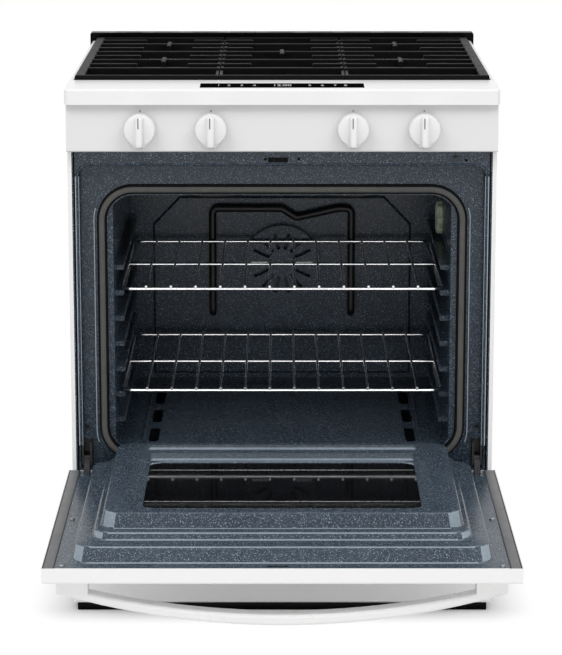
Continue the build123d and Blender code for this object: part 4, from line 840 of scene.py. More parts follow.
@dataclass
class DialSet:
    """Four white dials with a grip ridge, their pointers and the marks above them."""

    radius: float = 28 * MM
    sides: int = 72
    skirt: float = 18 * MM
    skirt_edge: float = 1.4 * MM
    taper: float = 0.95
    dish_inset: float = 2 * MM
    dish_depth: float = 0.6 * MM
    grip_width: float = 15 * MM
    grip_reach: float = 14 * MM
    grip_inset: float = 2 * MM
    grip_sink: float = 2 * MM
    grip_edge: float = 4.2 * MM
    grip_crown: Point = (0.86, 1, 0.95)
    tip_reach: float = 2.5 * MM
    tip_length: float = 9 * MM
    tip_taper: float = 0.92
    chin_half: float = 16.5 * MM
    chin_overlap: float = 4 * MM
    chin_taper: float = 0.42
    chin_edge: float = 1.2 * MM
    pointer_width: float = 2 * MM
    pointer_base: float = 5 * MM
    pointer_length: float = 18.5 * MM
    pointer_shift: float = -1.2 * MM
    pointer_proud: float = 0.25 * MM
    pointer_sink: float = 2 * MM
    pointer_edge: float = 0.3 * MM
    mark_radius: float = 1.3 * MM
    mark_rise: float = 30 * MM
    mark_height: float = 0.6 * MM
    mark_rim: float = 0.3 * MM
    mark_dish: float = 0.05 * MM
    panel_top_y: float = -15 * MM
    panel_lean: float = 7 * MM
    panel_lip: float = 6 * MM

    def _model(self) -> Piece:
        """Models one dial at the origin.

        Returns:
            The dial, with its back in the plane Y = 0.
        """
        dial = add_rod("dial", self.radius, self.skirt, (0, -self.skirt / 2, 0), Turn.Y, self.sides)
        with shaping(dial, Way.FRONT):
            resize((self.taper, 1, self.taper), (0, -self.skirt, 0))
            bpy.ops.mesh.inset(thickness=self.dish_inset, depth=self.dish_depth)
        soften(dial, self.skirt_edge, segments=4, degrees=20)
        front = -self.skirt - self.grip_reach
        shoulder = -self.radius - self.tip_reach + self.tip_length
        chin = add_block(
            "chin",
            (-self.chin_half, self.dish_depth - self.skirt, shoulder),
            (self.chin_half, -self.chin_overlap, shoulder + self.chin_overlap),
        )
        grip = add_block(
            "grip",
            (-self.grip_width / 2, front, shoulder),
            (self.grip_width / 2, self.grip_sink - self.skirt, self.radius - self.grip_inset),
        )
        for piece, narrowing in ((chin, self.chin_taper), (grip, self.tip_taper)):
            with shaping(piece, Way.DOWN):
                pull((0, 0, -self.tip_length))
                resize((narrowing, 1, 1), (0, 0, 0))
        with shaping(grip, Way.FRONT):
            resize(self.grip_crown, (0, front, 0))
        soften(chin, self.chin_edge, degrees=20)
        soften(grip, self.grip_edge, segments=6)
        return join("dial", [dial, chin, grip])

    def build(self, places: dict[str, str]) -> None:
        """Sets a dial with its pointer on each stem and a mark above it.

        Args:
            places: The body of each dial by the name of its solid.
        """
        model = self._model()
        for node, body in places.items():
            middle = middle_of(node)
            seat = Vector((middle.x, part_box(node)[1].y, middle.z))
            dial = copy_of(model, f"{node}_cap", Matrix.Translation(seat))
            dress(dial, WHITE_PLASTIC, body, "white_plastic", node)
            self._pointer(f"{node}_pointer", body, seat)
        bpy.data.objects.remove(model)
        marks = [self._mark(middle_of(node)) for node in places]
        dress(join("dial_marks", marks), DARK_PRINT, "body", "black_plastic")

    def _pointer(self, name: str, body: str, seat: Vector) -> None:
        """Lays the dark pointer line on the front of a dial.

        Args:
            name: The name of the pointer.
            body: The dial's body.
            seat: Where the middle of the dial's back lies.
        """
        front = seat.y - self.skirt - self.grip_reach
        x, foot = seat.x + self.pointer_shift, seat.z + self.pointer_base
        pointer = add_block(
            name,
            (x - self.pointer_width / 2, front - self.pointer_proud, foot),
            (x + self.pointer_width / 2, front + self.pointer_sink, foot + self.pointer_length),
            self.pointer_edge,
        )
        dress(pointer, DARK_PRINT, body, "black_plastic")

    def _mark(self, middle: Vector) -> Piece:
        """Models the dot above one dial, on the leaning face of the panel.

        Args:
            middle: The middle of the dial.

        Returns:
            The dot.
        """
        low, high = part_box("control_panel")
        z = middle.z + self.mark_rise
        share = (high.z - z) / (high.z - low.z - self.panel_lip)
        place = (middle.x, self.panel_top_y - self.panel_lean * share, z)
        mark = add_rod("mark", self.mark_radius, self.mark_height, place, Turn.Y, sides=20)
        with shaping(mark, Way.FRONT):
            bpy.ops.mesh.inset(thickness=self.mark_rim, depth=self.mark_dish)
        return mark


@dataclass
class PressedFace:
    """The selected face of a sheet that is being pressed, by its size and place."""

    width: float
    depth: float
    middle: float
    height: float

    def press(self, rise: float, half: float, front: float, back: float) -> None:
        """Extrudes the face and brings it to a new size.

        Args:
            rise: How far it goes up.
            half: Half its new width.
            front: Its new front edge along Y.
            back: Its new back edge along Y.
        """
        width, depth, middle = 2 * half, back - front, (front + back) / 2
        pull((0, middle - self.middle, rise))
        self.height += rise
        resize((width / self.width, depth / self.depth, 1), (0, middle, self.height))
        self.width, self.depth, self.middle = width, depth, middle


@dataclass
class DoorLiner:
    """The pressed inner sheet of the door: a flange and three steps up to the window."""

    flange_half: float = 360 * MM
    flange_corner: float = 8 * MM
    flange_gap: float = 2 * MM
    sheet: float = 1.6 * MM
    plug_back: float = -8 * MM
    setback: float = 1 * MM
    rises: Lengths = (19.5 * MM, 9.5 * MM, 24 * MM)
    base_halves: Lengths = (335 * MM, 305 * MM, 294 * MM)
    top_halves: Lengths = (332 * MM, 303 * MM, 290 * MM)
    base_insets: Lengths = (25 * MM, 82 * MM, 115 * MM)
    top_insets: Lengths = (51 * MM, 94 * MM, 121 * MM)
    corner: float = 34 * MM
    bend: float = 2.4 * MM
    bend_lean: Pair = (0.15, 0.57)
    bend_turn: float = 0.12
    corner_lean: float = 0.3
    corner_turn: Pair = (0.25, 0.8)
    least_rise: float = 0.1
    window_half: float = 228 * MM
    window_inset: float = 149 * MM
    window_depth: float = 262 * MM
    window_drop: float = 3 * MM
    window_draft: float = 1 * MM
    line_insets: Lengths = (190 * MM, 369 * MM)
    line_width: float = 1.8 * MM
    line_margin: float = 2 * MM
    line_sink: float = 0.2 * MM
    line_proud: float = 0.4 * MM
    line_edge: float = 0.2 * MM
    band_halves: Lengths = (237 * MM, 230 * MM)
    band_insets: Lengths = (500 * MM, 441 * MM)
    band_widths: Lengths = (28 * MM, 46 * MM)
    band_rise: float = 2.4 * MM
    band_sink: float = 1 * MM
    band_slope: float = 5.6 * MM
    band_edge: float = 0.6 * MM
    strike_half: float = 17 * MM
    strike_span: Pair = (8 * MM, 15 * MM)
    notch_centre: float = 347 * MM
    notch_half: float = 9 * MM
    notch_span: Pair = (-24 * MM, 5 * MM)
    slot_reach: float = 9 * MM

    @property
    def _front(self) -> float:
        """The door's front edge along Y."""
        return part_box("door_skin")[0].y

    @property
    def _flange(self) -> float:
        """The height of the flange."""
        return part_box("door_skin")[1].z

    @property
    def _plateau(self) -> float:
        """The height of the face round the window."""
        return self._flange + sum(self.rises)

    def build(self) -> None:
        """Presses the sheet, opens its slots and lays its bands and lines."""
        liner = self._press()
        self._close_flange(liner)
        run_modifier(
            liner, "BEVEL", width=self.bend, segments=4, limit_method="ANGLE", angle_limit=math.radians(20),
            use_clamp_overlap=False,
        )
        run_modifier(liner, "SOLIDIFY", thickness=self.sheet, offset=-1.0)
        self._open_slots(liner)
        smooth(liner, degrees=40)
        dress(liner, SLATE_LINER, "door", "slate_enamel", "door_liner")
        # Painted highlights on the bends and round corners of the liner.
        self._paint_bend_highlights(liner)
        self._lay_bands()
        self._window_lines()

    def _press(self) -> Piece:
        """Presses the three steps and the window's edge out of a flat face.

        Returns:
            The sheet, open between its flange's border and its steps.
        """
        low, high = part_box("door_skin")
        size = (2 * self.flange_half, high.y - low.y - 2 * self.flange_gap)
        border = add_plate("liner_flange", size, (0, (low.y + high.y) / 2, self._flange), self.flange_corner)
        with shaping(border, whole=True):
            bpy.ops.mesh.delete(type="ONLY_FACE")
        foot = self._front + self.base_insets[0]
        middle = (foot + self.plug_back) / 2
        face = PressedFace(2 * self.base_halves[0], self.plug_back - foot, middle, self._flange)
        steps = add_plate("liner_steps", (face.width, face.depth), (0, middle, self._flange), self.corner)
        liner = join("door_liner_sheet", [steps, border])
        with shaping(liner):
            choose_faces(liner, lambda middle, normal: True)
            for step, rise in enumerate(self.rises):
                back = self.plug_back - step * self.setback
                if step:
                    face.press(0, self.base_halves[step], self._front + self.base_insets[step], back)
                brow = self._front + self.top_insets[step]
                face.press(rise, self.top_halves[step], brow, back - self.setback)
            front = self._front + self.window_inset
            back = front + self.window_depth
            face.press(0, self.window_half, front, back)
            face.press(-self.window_drop, self.window_half - self.window_draft, front, back)
            bpy.ops.mesh.delete(type="FACE")
        return liner

    def _close_flange(self, liner: Piece) -> None:
        """Fills the flange between its border and the steps, and turns the sheet's faces up.

        Args:
            liner: The pressed sheet.
        """
        flange = self._flange
        with shaping(liner):
            choose_faces(liner, lambda middle, normal: abs(middle.z - flange) < TOUCHING)
            bpy.ops.mesh.delete(type="ONLY_FACE")

        def open_at_flange(edge: bmesh.types.BMEdge) -> bool:
            """Tells whether an edge is open and lies at the flange's height."""
            level = all(abs(point.co.z - flange) < TOUCHING for point in edge.verts)
            return level and len(edge.link_faces) < 2

        with shaping(liner, parts=Parts.EDGES):
            choose_edges(liner, open_at_flange)
            bpy.ops.mesh.fill()
        merge(liner)
        if sum(face.normal.z * face.area for face in liner.data.polygons) < 0:
            with shaping(liner, whole=True):
                bpy.ops.mesh.flip_normals()

    def _is_bend(self, normal: Vector) -> bool:
        """Tells a bend or a round corner of the steps from the flat faces.

        Args:
            normal: Where the face looks.

        Returns:
            Whether the face belongs to a bend or a corner.
        """
        lean, turned = -normal.y, abs(normal.x)
        bend = self.bend_lean[0] < lean < self.bend_lean[1] and turned < self.bend_turn
        corner = lean > self.corner_lean and self.corner_turn[0] < turned < self.corner_turn[1]
        return normal.z > self.least_rise and (bend or corner)

    def _paint_bend_highlights(self, piece: Piece) -> None:
        """Paints highlights on the bends and round corners of a pressed piece, as a paler slate.

        Args:
            piece: The piece, dressed already.
        """
        piece.data.materials.append(SLATE_BEND_HIGHLIGHT.material())
        piece.active_material_index = 1
        with shaping(piece):
            choose_faces(piece, lambda middle, normal: self._is_bend(normal))
            bpy.ops.object.material_slot_assign()

    def _window_lines(self) -> None:
        """Lays the two bright spacer lines across the inner glass."""
        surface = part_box("inner_glass")[1].z
        half = self.window_half - self.line_margin
        lines = []
        for inset in self.line_insets:
            near, far = (self._front + inset + side * self.line_width / 2 for side in BOTH_SIDES)
            low, high = (-half, near, surface - self.line_sink), (half, far, surface + self.line_proud)
            lines.append(add_block("window_line", low, high, self.line_edge))
        dress(join("window_lines", lines), BRIGHT_STEEL, "door", "bright_steel")

    def _open_slots(self, liner: Piece) -> None:
        """Opens the strike slot and the two places where the hinge arms come through.

        Args:
            liner: The sheet to cut.
        """
        bottom, top = (self._flange + side * self.slot_reach for side in BOTH_SIDES)
        strike = tuple(self._front + edge for edge in self.strike_span)
        openings = [(middle_of("door_latch").x, self.strike_half, strike)]
        openings += [(side * self.notch_centre, self.notch_half, self.notch_span) for side in BOTH_SIDES]
        for x, half, (near, far) in openings:
            cut(liner, add_block("slot_cutter", (x - half, near, bottom), (x + half, far, top)))

    def _lay_bands(self) -> None:
        """Raises the two bands across the plateau behind the window."""
        bottom, top = self._plateau - self.band_sink, self._plateau + self.band_rise
        pieces = []
        for half, inset, width in zip(self.band_halves, self.band_insets, self.band_widths):
            y = self._front + inset
            band = add_block("liner_band", (-half, y - width / 2, bottom), (half, y + width / 2, top))
            with shaping(band, Way.UP):
                resize((1 - self.band_slope / half, 1 - 2 * self.band_slope / width, 1), (0, y, top))
            soften(band, self.band_edge, segments=2, degrees=15)
            pieces.append(band)
        # The bands are lighter than the liner as painted light.
        bands = dress(join("liner_bands", pieces), SLATE_BAND_LIT, "door", "slate_enamel")
        self._paint_bend_highlights(bands)


@dataclass
class DoorBorder:
    """The grey strips along the sides of the open door, beside the liner."""

    inset: float = 1.2 * MM
    proud: float = 0.5 * MM
    sink: float = 0.3 * MM
    edge: float = 0.3 * MM
    seam: float = 2 * MM
    seam_lift: float = 0.2 * MM

    def build(self, liner_half: float) -> None:
        """Lays one strip on each side, between two black lines of painted shade along its edges.

        Args:
            liner_half: Half the width of the liner that lies between the strips.
        """
        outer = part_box("door_skin")[1].x - self.inset
        inner = liner_half - self.seam / 2
        ends = (inner + self.seam, outer - self.seam)
        strips = [self._strip(side * ends[0], side * ends[1], 0) for side in BOTH_SIDES]
        dress(join("door_border", strips), EDGE_GREY, "door", "zinc_steel")
        # Black lines along both edges of each strip: painted shade in the seams.
        seams = [
            self._strip(side * start, side * (start + self.seam), self.seam_lift)
            for side in BOTH_SIDES
            for start in (inner, ends[1])
        ]
        dress(join("door_gap_shade", seams), BLACK_PLASTIC, "door", "black_plastic")

    def _strip(self, first: float, second: float, lift: float) -> Piece:
        """Models one strip over the whole depth of the door.

        Args:
            first: One long edge, along X.
            second: The other long edge.
            lift: How far it stands above the other strips.

        Returns:
            The strip.
        """
        low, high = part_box("door_skin")
        return add_block(
            "door_strip",
            (min(first, second), low.y + self.inset, high.z - self.sink),
            (max(first, second), high.y - self.inset, high.z + self.proud + lift),
            self.edge,
        )


@dataclass(frozen=True)
class EdgeRope:
    """A round-section band along an upright frame with round corners."""

    name: str
    half: float
    bottom: float
    top: float
    corner: float
    radius: float
    y: float = 0.0
    flatten: float = 1.0
    corner_steps: int = 14
    section_steps: int = 6
    smooth_below: float = 60

    def build(self) -> Piece:
        """Makes the band.

        Returns:
            The band as a closed mesh.
        """
        size = (2 * self.half, self.top - self.bottom)
        centre = (0, self.y, (self.top + self.bottom) / 2)
        band = add_plate(self.name, size, centre, self.corner, upright=True, steps=self.corner_steps)
        with shaping(band, whole=True):
            bpy.ops.mesh.delete(type="ONLY_FACE")
        take_up(band)
        bpy.ops.object.convert(target="CURVE")
        curve = bpy.context.view_layer.objects.active.data
        curve.dimensions = "3D"
        curve.fill_mode = "FULL"
        curve.bevel_depth = self.radius
        curve.bevel_resolution = self.section_steps
        bpy.ops.object.convert(target="MESH")
        band = named(self.name)
        with shaping(band, whole=True):
            resize((1, self.flatten, 1), (0, self.y, 0))
        merge(band)
        smooth(band, self.smooth_below)
        return band

    def cut_off(self, bottom: float, top: float | None = None) -> Piece:
        """Makes the band and cuts it off.

        Args:
            bottom: The height below which it is cleared.
            top: The height above which it is cleared, if any.

        Returns:
            The part of the band that is left.
        """
        band = self.build()
        for height, cleared in ((bottom, "clear_inner"), (top, "clear_outer")):
            if height is not None:
                level = {"plane_co": (0, 0, height), "plane_no": Way.UP.value, cleared: True}
                with shaping(band, whole=True):
                    bpy.ops.mesh.bisect(use_fill=True, **level)
        smooth(band, self.smooth_below)
        return band


@dataclass
class OvenFront:
    """The gasket round the oven mouth, and the recess's lip, edges, seams and latch slot of the frame, with
    painted highlight lines along the edges, painted highlight and shade on the gasket, and painted shade in
    the seams and the slot.
    """

    mouth: EdgeRope = EdgeRope(
        "gasket_rope", half=316 * MM, bottom=275 * MM, top=759 * MM, corner=55 * MM, radius=7.4 * MM
    )
    crest_radius: float = 6.2 * MM
    crest_place: float = 0.345
    crest_share: float = 0.7
    seat_shadow_radius: float = 8.8 * MM
    seat_shadow_height: float = 1.6 * MM
    lip: EdgeRope = EdgeRope(
        "recess_lip", half=357 * MM, bottom=256 * MM, top=806 * MM, corner=24 * MM, radius=2.4 * MM,
        y=1.4 * MM,
    )
    inner_highlight: EdgeRope = EdgeRope(
        "painted_highlight_line", half=354.4 * MM, bottom=256 * MM, top=804 * MM, corner=22 * MM, radius=0.9 * MM,
        y=2.6 * MM,
    )
    outer_highlight: EdgeRope = replace(inner_highlight, half=359.5 * MM, top=808 * MM, corner=26 * MM, y=0.2 * MM)
    groove_highlight: EdgeRope = replace(inner_highlight, half=330 * MM, top=771 * MM, corner=66 * MM)
    groove_proud: float = 0.3 * MM
    line_bottom: float = 300 * MM
    line_top: float = 785 * MM
    groove_top: float = 725 * MM
    seam_half: float = 363.4 * MM
    seam_width: float = 2.6 * MM
    seam_proud: float = 0.4 * MM
    seam_sink: float = 1 * MM
    seam_edge: float = 0.2 * MM
    slot_size: Pair = (34.6 * MM, 8.6 * MM)
    slot_depth: float = 2 * MM
    lining: float = 0.8 * MM
    lining_edge: float = 0.15 * MM
    bolt_gap: float = 0.6 * MM

    def build(self) -> None:
        """Makes the bands of the gasket with their painted highlight and shadow, the recess's lip, the
        painted highlight lines along the edges, the painted shade in the seams and the slot's black lining of
        painted shade.
        """
        low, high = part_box("oven_gasket")
        depth = high.y - low.y
        gasket = self._round_mouth("gasket_rope", high.y - depth / 2, self.mouth.radius, depth)
        dress(gasket, GASKET_BRAID_SHADED, "body", "gasket_braid", "oven_gasket")
        # A lighter crest along the front of the rope: painted highlight; the dark rope round it is painted
        # shade.
        crest_y = low.y + depth * self.crest_place
        crest = self._round_mouth("gasket_lit_crest", crest_y, self.crest_radius, depth * self.crest_share)
        dress(crest, GASKET_LIT_CREST, "body", "gasket_braid")
        # A black ring round the rope: the gasket's seat, black as the painted shadow round the rope.
        seat_shadow_y = high.y - self.seat_shadow_height / 2
        seat = self._round_mouth("gasket_seat_shadow", seat_shadow_y, self.seat_shadow_radius, self.seat_shadow_height)
        dress(seat, BLACK_ENAMEL, "body", "black_enamel")
        lip = self.lip.cut_off(self.line_bottom)
        dress(lip, SLATE_ENAMEL, "body", "slate_enamel")
        # Thin pale ropes along the recess's edges and beside the gasket: painted highlight lines.
        groove = replace(self.groove_highlight, y=high.y - self.groove_proud)
        lines = [line.cut_off(self.line_bottom, self.line_top) for line in (self.inner_highlight, self.outer_highlight)]
        lines.append(groove.cut_off(self.line_bottom, self.groove_top))
        dress(join("painted_highlight_lines", lines), SLATE_HIGHLIGHT_LINE, "body", "slate_enamel")
        self._shade_frame_gaps()
        self._shade_latch_slot()

    def _round_mouth(self, name: str, y: float, radius: float, depth: float) -> Piece:
        """Makes a band on the gasket's line round the oven mouth, with a radius and a depth along Y."""
        return replace(self.mouth, name=name, y=y, radius=radius, flatten=depth / 2 / radius).build()

    def _shade_frame_gaps(self) -> None:
        """Paints shade in the gap between the frame and each side panel, as a black strip."""
        low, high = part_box("front_frame")
        seams = []
        # Black strips in the gaps beside the side panels: painted shade.
        for side in BOTH_SIDES:
            middle = side * (self.seam_half - self.seam_width / 2)
            seam = add_block(
                "frame_gap_shade_strip",
                (middle - self.seam_width / 2, low.y - self.seam_proud, low.z),
                (middle + self.seam_width / 2, low.y + self.seam_sink, high.z),
                self.seam_edge,
            )
            seams.append(seam)
        dress(join("frame_gap_shade", seams), BLACK_ENAMEL, "body", "black_enamel")

    def _shade_latch_slot(self) -> None:
        """Lines the latch slot in black as painted shade, round a hole that lets the bolt through."""
        low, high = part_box("door_latch")
        middle = middle_of("door_latch")
        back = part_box("front_frame")[0].y + self.slot_depth
        wide, tall = self.slot_size
        lining = add_block(
            "latch_slot_shade",
            (middle.x - wide / 2, back - self.lining, middle.z - tall / 2),
            (middle.x + wide / 2, back, middle.z + tall / 2),
        )
        hole = add_block(
            "bolt_cutter",
            (low.x - self.bolt_gap, back - 2 * self.lining, low.z - self.bolt_gap),
            (high.x + self.bolt_gap, back + self.lining, high.z + self.bolt_gap),
        )
        cut(lining, hole)
        soften(lining, self.lining_edge, segments=1)
        dress(lining, BLACK_ENAMEL, "body", "black_enamel")


@dataclass
class ScrewRow:
    """Cross-head screws of one kind that look one way and ride on one body."""

    name: str
    body: str
    facing: Way
    places: Sequence[Point]
    radius: float = 4 * MM
    height: float = 1.8 * MM
    rim: float = 0.3
    dish: float = 0.25
    cross_reach: float = 0.62
    cross_width: float = 0.14
    cross_floor: float = 0.55
    finish: Finish = BRIGHT_STEEL
    slot: str = "bright_steel"

    def _model(self) -> Piece:
        """Models one head.

        Returns:
            The head, seated at the origin, looking along +Z.
        """
        head = add_rod("screw_head", self.radius, self.height, (0, 0, self.height / 2), sides=24)
        with shaping(head, Way.UP):
            bpy.ops.mesh.inset(thickness=self.radius * self.rim, depth=self.height * self.dish)
        reach, width = self.radius * self.cross_reach, self.radius * self.cross_width
        floor, above = self.height * self.cross_floor, self.height * 2
        for x, y in ((reach, width), (width, reach)):
            cut(head, add_block("cross_cutter", (-x, -y, floor), (x, y, above)))
        smooth(head, degrees=30)
        return head

    def build(self) -> None:
        """Copies the head to each place and joins the copies."""
        turn = Vector(self.facing.value).to_track_quat("Z", "Y").to_matrix().to_4x4()
        places = [Matrix.Translation(place) @ turn for place in self.places]
        dress(repeat(self._model(), self.name, places), self.finish, self.body, self.slot)


@dataclass
class Fasteners:
    """The rows of screws that show."""

    liner_places: tuple[Pair, ...] = ((352 * MM, -30 * MM), (350 * MM, -290 * MM), (347 * MM, -530 * MM))
    frame_places: tuple[Pair, ...] = ((-29 * MM, 816 * MM), (29 * MM, 816 * MM), (320 * MM, 814 * MM))
    frame_radius: float = 2.4 * MM
    hinge_place: Point = (347 * MM, 24 * MM, 330 * MM)
    hinge_radius: float = 3.6 * MM
    rear_column: float = 362 * MM
    rear_heights: Lengths = (30 * MM, 320 * MM, 610 * MM, 900 * MM)
    inlet_side_heights: Lengths = (370 * MM, 610 * MM, 900 * MM)
    middle_heights: Lengths = (30 * MM, 320 * MM, 900 * MM)

    def build(self) -> None:
        """Sets the screws of the liner, the frame, the hinges and the rear panel."""
        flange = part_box("door_skin")[1].z
        liner = [(side * x, y, flange) for side in BOTH_SIDES for x, y in self.liner_places]
        ScrewRow("liner_screws", "door", Way.UP, liner).build()
        holes = [(x, 0, z) for x, z in self.frame_places]
        ScrewRow(
            "frame_screws", "body", Way.FRONT, holes, radius=self.frame_radius, finish=BLACK_ENAMEL,
            slot="black_enamel",
        ).build()
        x, y, z = self.hinge_place
        hinges = [(side * x, y, z) for side in BOTH_SIDES]
        ScrewRow(
            "hinge_screws", "body", Way.FRONT, hinges, radius=self.hinge_radius, finish=SHADED_HINGE_STEEL
        ).build()
        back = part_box("rear_panel")[1].y
        columns = (
            (-self.rear_column, self.rear_heights),
            (0, self.middle_heights),
            (self.rear_column, self.inlet_side_heights),
        )
        rear = [(x, back, z) for x, heights in columns for z in heights]
        ScrewRow("rear_screws", "body", Way.REAR, rear, finish=ZINC_STEEL, slot="zinc_steel").build()


@dataclass
class TouchStrip:
    """Printed keys and a clock on the glass strip of the cooktop."""

    clock: str = "12:00"
    digit_size: float = 24 * MM
    clock_size: float = 30 * MM
    squeeze: float = 0.5
    ink: float = 0.05 * MM
    ink_lift: float = 0.06 * MM
    columns: Lengths = (48 * MM, 70 * MM, 92 * MM, 110 * MM)

    def _print(self, text: str, size: float, x: float) -> Piece:
        """Makes flat, narrow printed figures on the glass.

        Args:
            text: The figures.
            size: The height of the print.
            x: The middle of the print along the strip.

        Returns:
            The figures as a mesh.
        """
        deselect()
        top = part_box("control_glass")[1].z + self.ink_lift
        bpy.ops.object.text_add(location=(x, middle_of("control_glass").y, top))
        label = bpy.context.view_layer.objects.active
        label.data.body = text
        label.data.size = size
        label.data.align_x = "CENTER"
        label.data.align_y = "CENTER"
        label.data.extrude = self.ink
        bpy.ops.object.convert(target="MESH")
        label = named("key_print")
        label.scale = (self.squeeze, 1, 1)
        return set_down(label)

    def build(self) -> None:
        """Prints the figures, numbered from left to right round the clock, and joins them."""
        prints = [self._print(self.clock, self.clock_size, 0)]
        count = len(self.columns)
        for column, x in enumerate(self.columns):
            prints.append(self._print(str(count - column), self.digit_size, -x))
            prints.append(self._print(str(count + 1 + column), self.digit_size, x))
        dress(join("touch_strip_print", prints), PALE_PRINT, "body", "white_plastic")


@dataclass
class BurnerPortShades:
    """Painted shade of the gas ports: dark marks round each burner head, in place of openings."""

    ports: int = 28
    width: float = 1.6 * MM
    height: float = 4.5 * MM
    sink: float = 0.4 * MM
    proud: float = 0.35 * MM
    edge: float = 0.25 * MM
    below_cap: float = 1.2 * MM
    centres: tuple[Pair, ...] = ((-0.218, 0.310), (0.218, 0.310), (-0.218, 0.544), (0.218, 0.544))
    radii: Lengths = (52 * MM, 47 * MM, 39 * MM, 47 * MM)

    def build(self) -> None:
        """Copies one dark port mark round every head."""
        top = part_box("burner_caps")[0].z - self.below_cap
        low, high = (-self.sink, -self.width / 2, -self.height), (self.proud, self.width / 2, 0)
        port_shade = add_block("port_shade", low, high, self.edge, segments=1)
        places = []
        for (x, y), radius in zip(self.centres, self.radii):
            for index in range(self.ports):
                turn = Matrix.Rotation(2 * math.pi * index / self.ports, 4, "Z")
                places.append(Matrix.Translation((x, y, top)) @ turn @ Matrix.Translation((radius, 0, 0)))
        dress(repeat(port_shade, "burner_port_shades", places), BLACK_ENAMEL, "body", "black_enamel")


@dataclass
class RearLouvres:
    """Pressed hoods over the slots of the rear panel."""

    columns: int = 6
    rows: int = 5
    pitch_x: float = 90 * MM
    pitch_z: float = 30 * MM
    bottom_row: float = 656 * MM
    length: float = 64 * MM
    width: float = 11 * MM
    proud: float = 3.2 * MM
    crown: Point = (0.86, 1, 0.55)
    crown_centre: float = 0.2
    edge: float = 1.2 * MM
    sheet: float = 0.8 * MM

    def build(self) -> None:
        """Models one hood and repeats it over the grid."""
        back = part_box("rear_panel")[1].y
        hood = add_block("hood", (-self.length / 2, 0, 0), (self.length / 2, self.proud, self.width))
        with shaping(hood, Way.REAR):
            resize(self.crown, (0, self.proud, self.width * self.crown_centre))
        with shaping(hood, Way.DOWN, Way.FRONT):
            bpy.ops.mesh.delete(type="FACE")
        soften(hood, self.edge, degrees=25)
        run_modifier(hood, "SOLIDIFY", thickness=self.sheet, offset=-1.0)
        left = -self.pitch_x * (self.columns - 1) / 2
        places = [
            Matrix.Translation((left + column * self.pitch_x, back, self.bottom_row + row * self.pitch_z))
            for column in range(self.columns)
            for row in range(self.rows)
        ]
        dress(repeat(hood, "rear_louvres", places), ZINC_STEEL, "body", "zinc_steel")


@dataclass
class UnderDrawerStrip:
    """The black strip below the drawer, with a return to the legs at each end."""

    half: float = 366 * MM
    front: float = -21 * MM
    back: float = 32 * MM
    thickness: float = 3 * MM
    bottom: float = 0.5 * MM
    top: float = 12.5 * MM
    edge: float = 0.6 * MM

    def build(self) -> None:
        """Models the strip and folds its ends back."""
        rear = self.front + self.thickness
        strip = add_block("under_drawer_strip", (-self.half, self.front, self.bottom), (self.half, rear, self.top))
        ends = self.half - self.thickness
        for side in BOTH_SIDES:
            with shaping(strip, parts=Parts.EDGES, whole=True):
                bpy.ops.mesh.bisect(plane_co=(side * ends, 0, 0), plane_no=(1, 0, 0))
        with shaping(strip):
            choose_faces(strip, lambda middle, normal: Way.REAR.fits(normal) and abs(middle.x) > ends)
            pull((0, self.back - rear, 0))
        soften(strip, self.edge, segments=2)
        dress(strip, BLACK_ENAMEL, "body", "black_enamel")


# Surroundings


@dataclass(frozen=True)
class SoftLamp:
    """A rectangular lamp that looks at a point and spreads its light over an angle in degrees."""

    name: str
    place: Point
    target: Point
    size: Pair
    power: float
    spread: float = 180

    def hang(self) -> None:
        """Adds the lamp to the scene."""
        data = bpy.data.lights.new(self.name, "AREA")
        data.shape = "RECTANGLE"
        data.size, data.size_y = self.size
        data.energy = self.power
        data.spread = math.radians(self.spread)
        lamp = bpy.data.objects.new(self.name, data)
        bpy.context.scene.collection.objects.link(lamp)
        lamp.location = self.place
        lamp.rotation_euler = (Vector(self.target) - Vector(self.place)).to_track_quat("-Z", "Y").to_euler()


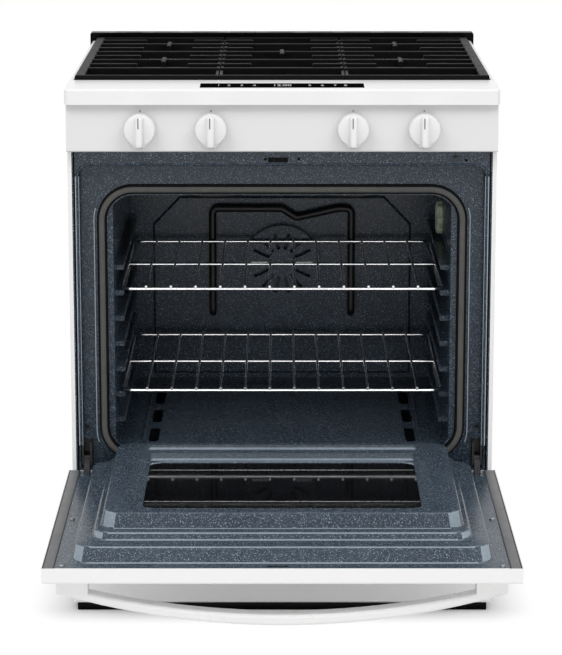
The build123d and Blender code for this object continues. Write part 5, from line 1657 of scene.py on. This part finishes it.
@dataclass
class Studio:
    """The floor, the lights and the camera."""

    focal_pixels: float = 2538.06
    distance: float = 4.34685
    height: float = 1.5549
    pitch: float = 11.6746
    side: float = -0.0019
    shift: float = -0.12
    floor_size: float = 30
    floor_grey: float = 0.86
    footprint: Pair = (0.36, 0.33)
    white_from: float = 0.1
    ambient: float = 0.62
    lamps: tuple[SoftLamp, ...] = (
        SoftLamp("key_left", (-1.3, -1.7, 3.3), (0, 0, 0.7), (2.0, 1.6), 33),
        SoftLamp("key_right", (1.3, -1.7, 3.3), (0, 0, 0.7), (2.0, 1.6), 33),
        SoftLamp("fill_low", (0, -3.0, 0.45), (0, -0.4, 0.12), (2.4, 0.6), 1.5, 50),
    )

    def floor(self) -> None:
        """Lays a pale floor that fades to white for the camera."""
        deselect()
        bpy.ops.mesh.primitive_plane_add(size=self.floor_size)
        floor = named("studio_floor")
        material = bpy.data.materials.new("studio_floor")
        material.use_nodes = True
        desk = NodeDesk(material.node_tree)
        shader = desk.tree.nodes["Principled BSDF"]
        desk.feed(shader.inputs["Base Color"], (self.floor_grey,) * 3)
        shader.inputs["Roughness"].default_value = 0.7
        shader.inputs["Specular IOR Level"].default_value = 0.1
        white = desk.add("Emission", Color=(1.0, 1.0, 1.0), Strength=1.0)
        axes = desk.add("SeparateXYZ", Vector=desk.place()).outputs
        behind = desk.math("SUBTRACT", axes[1], self.footprint[1])
        outside = [
            desk.math("MAXIMUM", desk.math("SUBTRACT", desk.math("ABSOLUTE", axis), half), 0.0)
            for axis, half in zip((axes[0], behind), self.footprint)
        ]
        away = desk.math("SQRT", desk.math("ADD", *(desk.math("POWER", gap, 2.0) for gap in outside)))
        fade = desk.add("MapRange", Value=away, From_Max=self.white_from, interpolation_type="SMOOTHSTEP")
        mix = desk.add("MixShader", Fac=desk.math("MULTIPLY", desk.seen(), fade.outputs[0]))
        desk.feed(mix.inputs[1], shader.outputs[0])
        desk.feed(mix.inputs[2], white.outputs[0])
        desk.feed(desk.tree.nodes["Material Output"].inputs["Surface"], mix.outputs[0])
        floor.data.materials.append(material)

    def world(self) -> None:
        """Makes the surroundings white for the camera and soft grey as light."""
        world = bpy.data.worlds.new("studio")
        world.use_nodes = True
        desk = NodeDesk(world.node_tree)
        sky = desk.tree.nodes["Background"]
        sky.inputs["Color"].default_value = (1, 1, 1, 1)
        strength = desk.math("MULTIPLY_ADD", desk.seen(), 1 - self.ambient, self.ambient)
        desk.feed(sky.inputs["Strength"], strength)
        bpy.context.scene.world = world

    def camera(self) -> None:
        """Sets the camera where the photograph was taken from."""
        data = bpy.data.cameras.new("camera")
        data.sensor_width = SENSOR
        data.lens = self.focal_pixels * SENSOR / IMAGE_LONG_SIDE
        data.shift_y = self.shift
        data.clip_end = 100
        camera = bpy.data.objects.new("camera", data)
        bpy.context.scene.collection.objects.link(camera)
        camera.location = (self.side, -self.distance, self.height)
        camera.rotation_euler = (math.radians(90 - self.pitch), 0, 0)
        bpy.context.scene.camera = camera

    def build(self) -> None:
        """Sets up everything that isn't part of the range."""
        self.floor()
        self.world()
        for lamp in self.lamps:
            lamp.hang()
        self.camera()
        bpy.context.scene.view_settings.view_transform = "Standard"


def main() -> None:
    """Builds the pieces in order."""
    logging.basicConfig(level=logging.INFO, format="%(name)s: %(message)s")
    for make in (mottle_group, speckle_group, brush_group, spangle_group, weave_group):
        make()
    SolidNodes(frame["nodes"], frame["record"]).dress()
    dials = ("far_left", "left", "right", "far_right")
    DialSet().build({f"knob_{place}": f"dial_{place}" for place in dials})
    liner = DoorLiner()
    liner.build()
    DoorBorder().build(liner.flange_half)
    OvenFront().build()
    Fasteners().build()
    TouchStrip().build()
    BurnerPortShades().build()
    RearLouvres().build()
    UnderDrawerStrip().build()
    Studio().build()


if __name__ == "__main__":
    main()
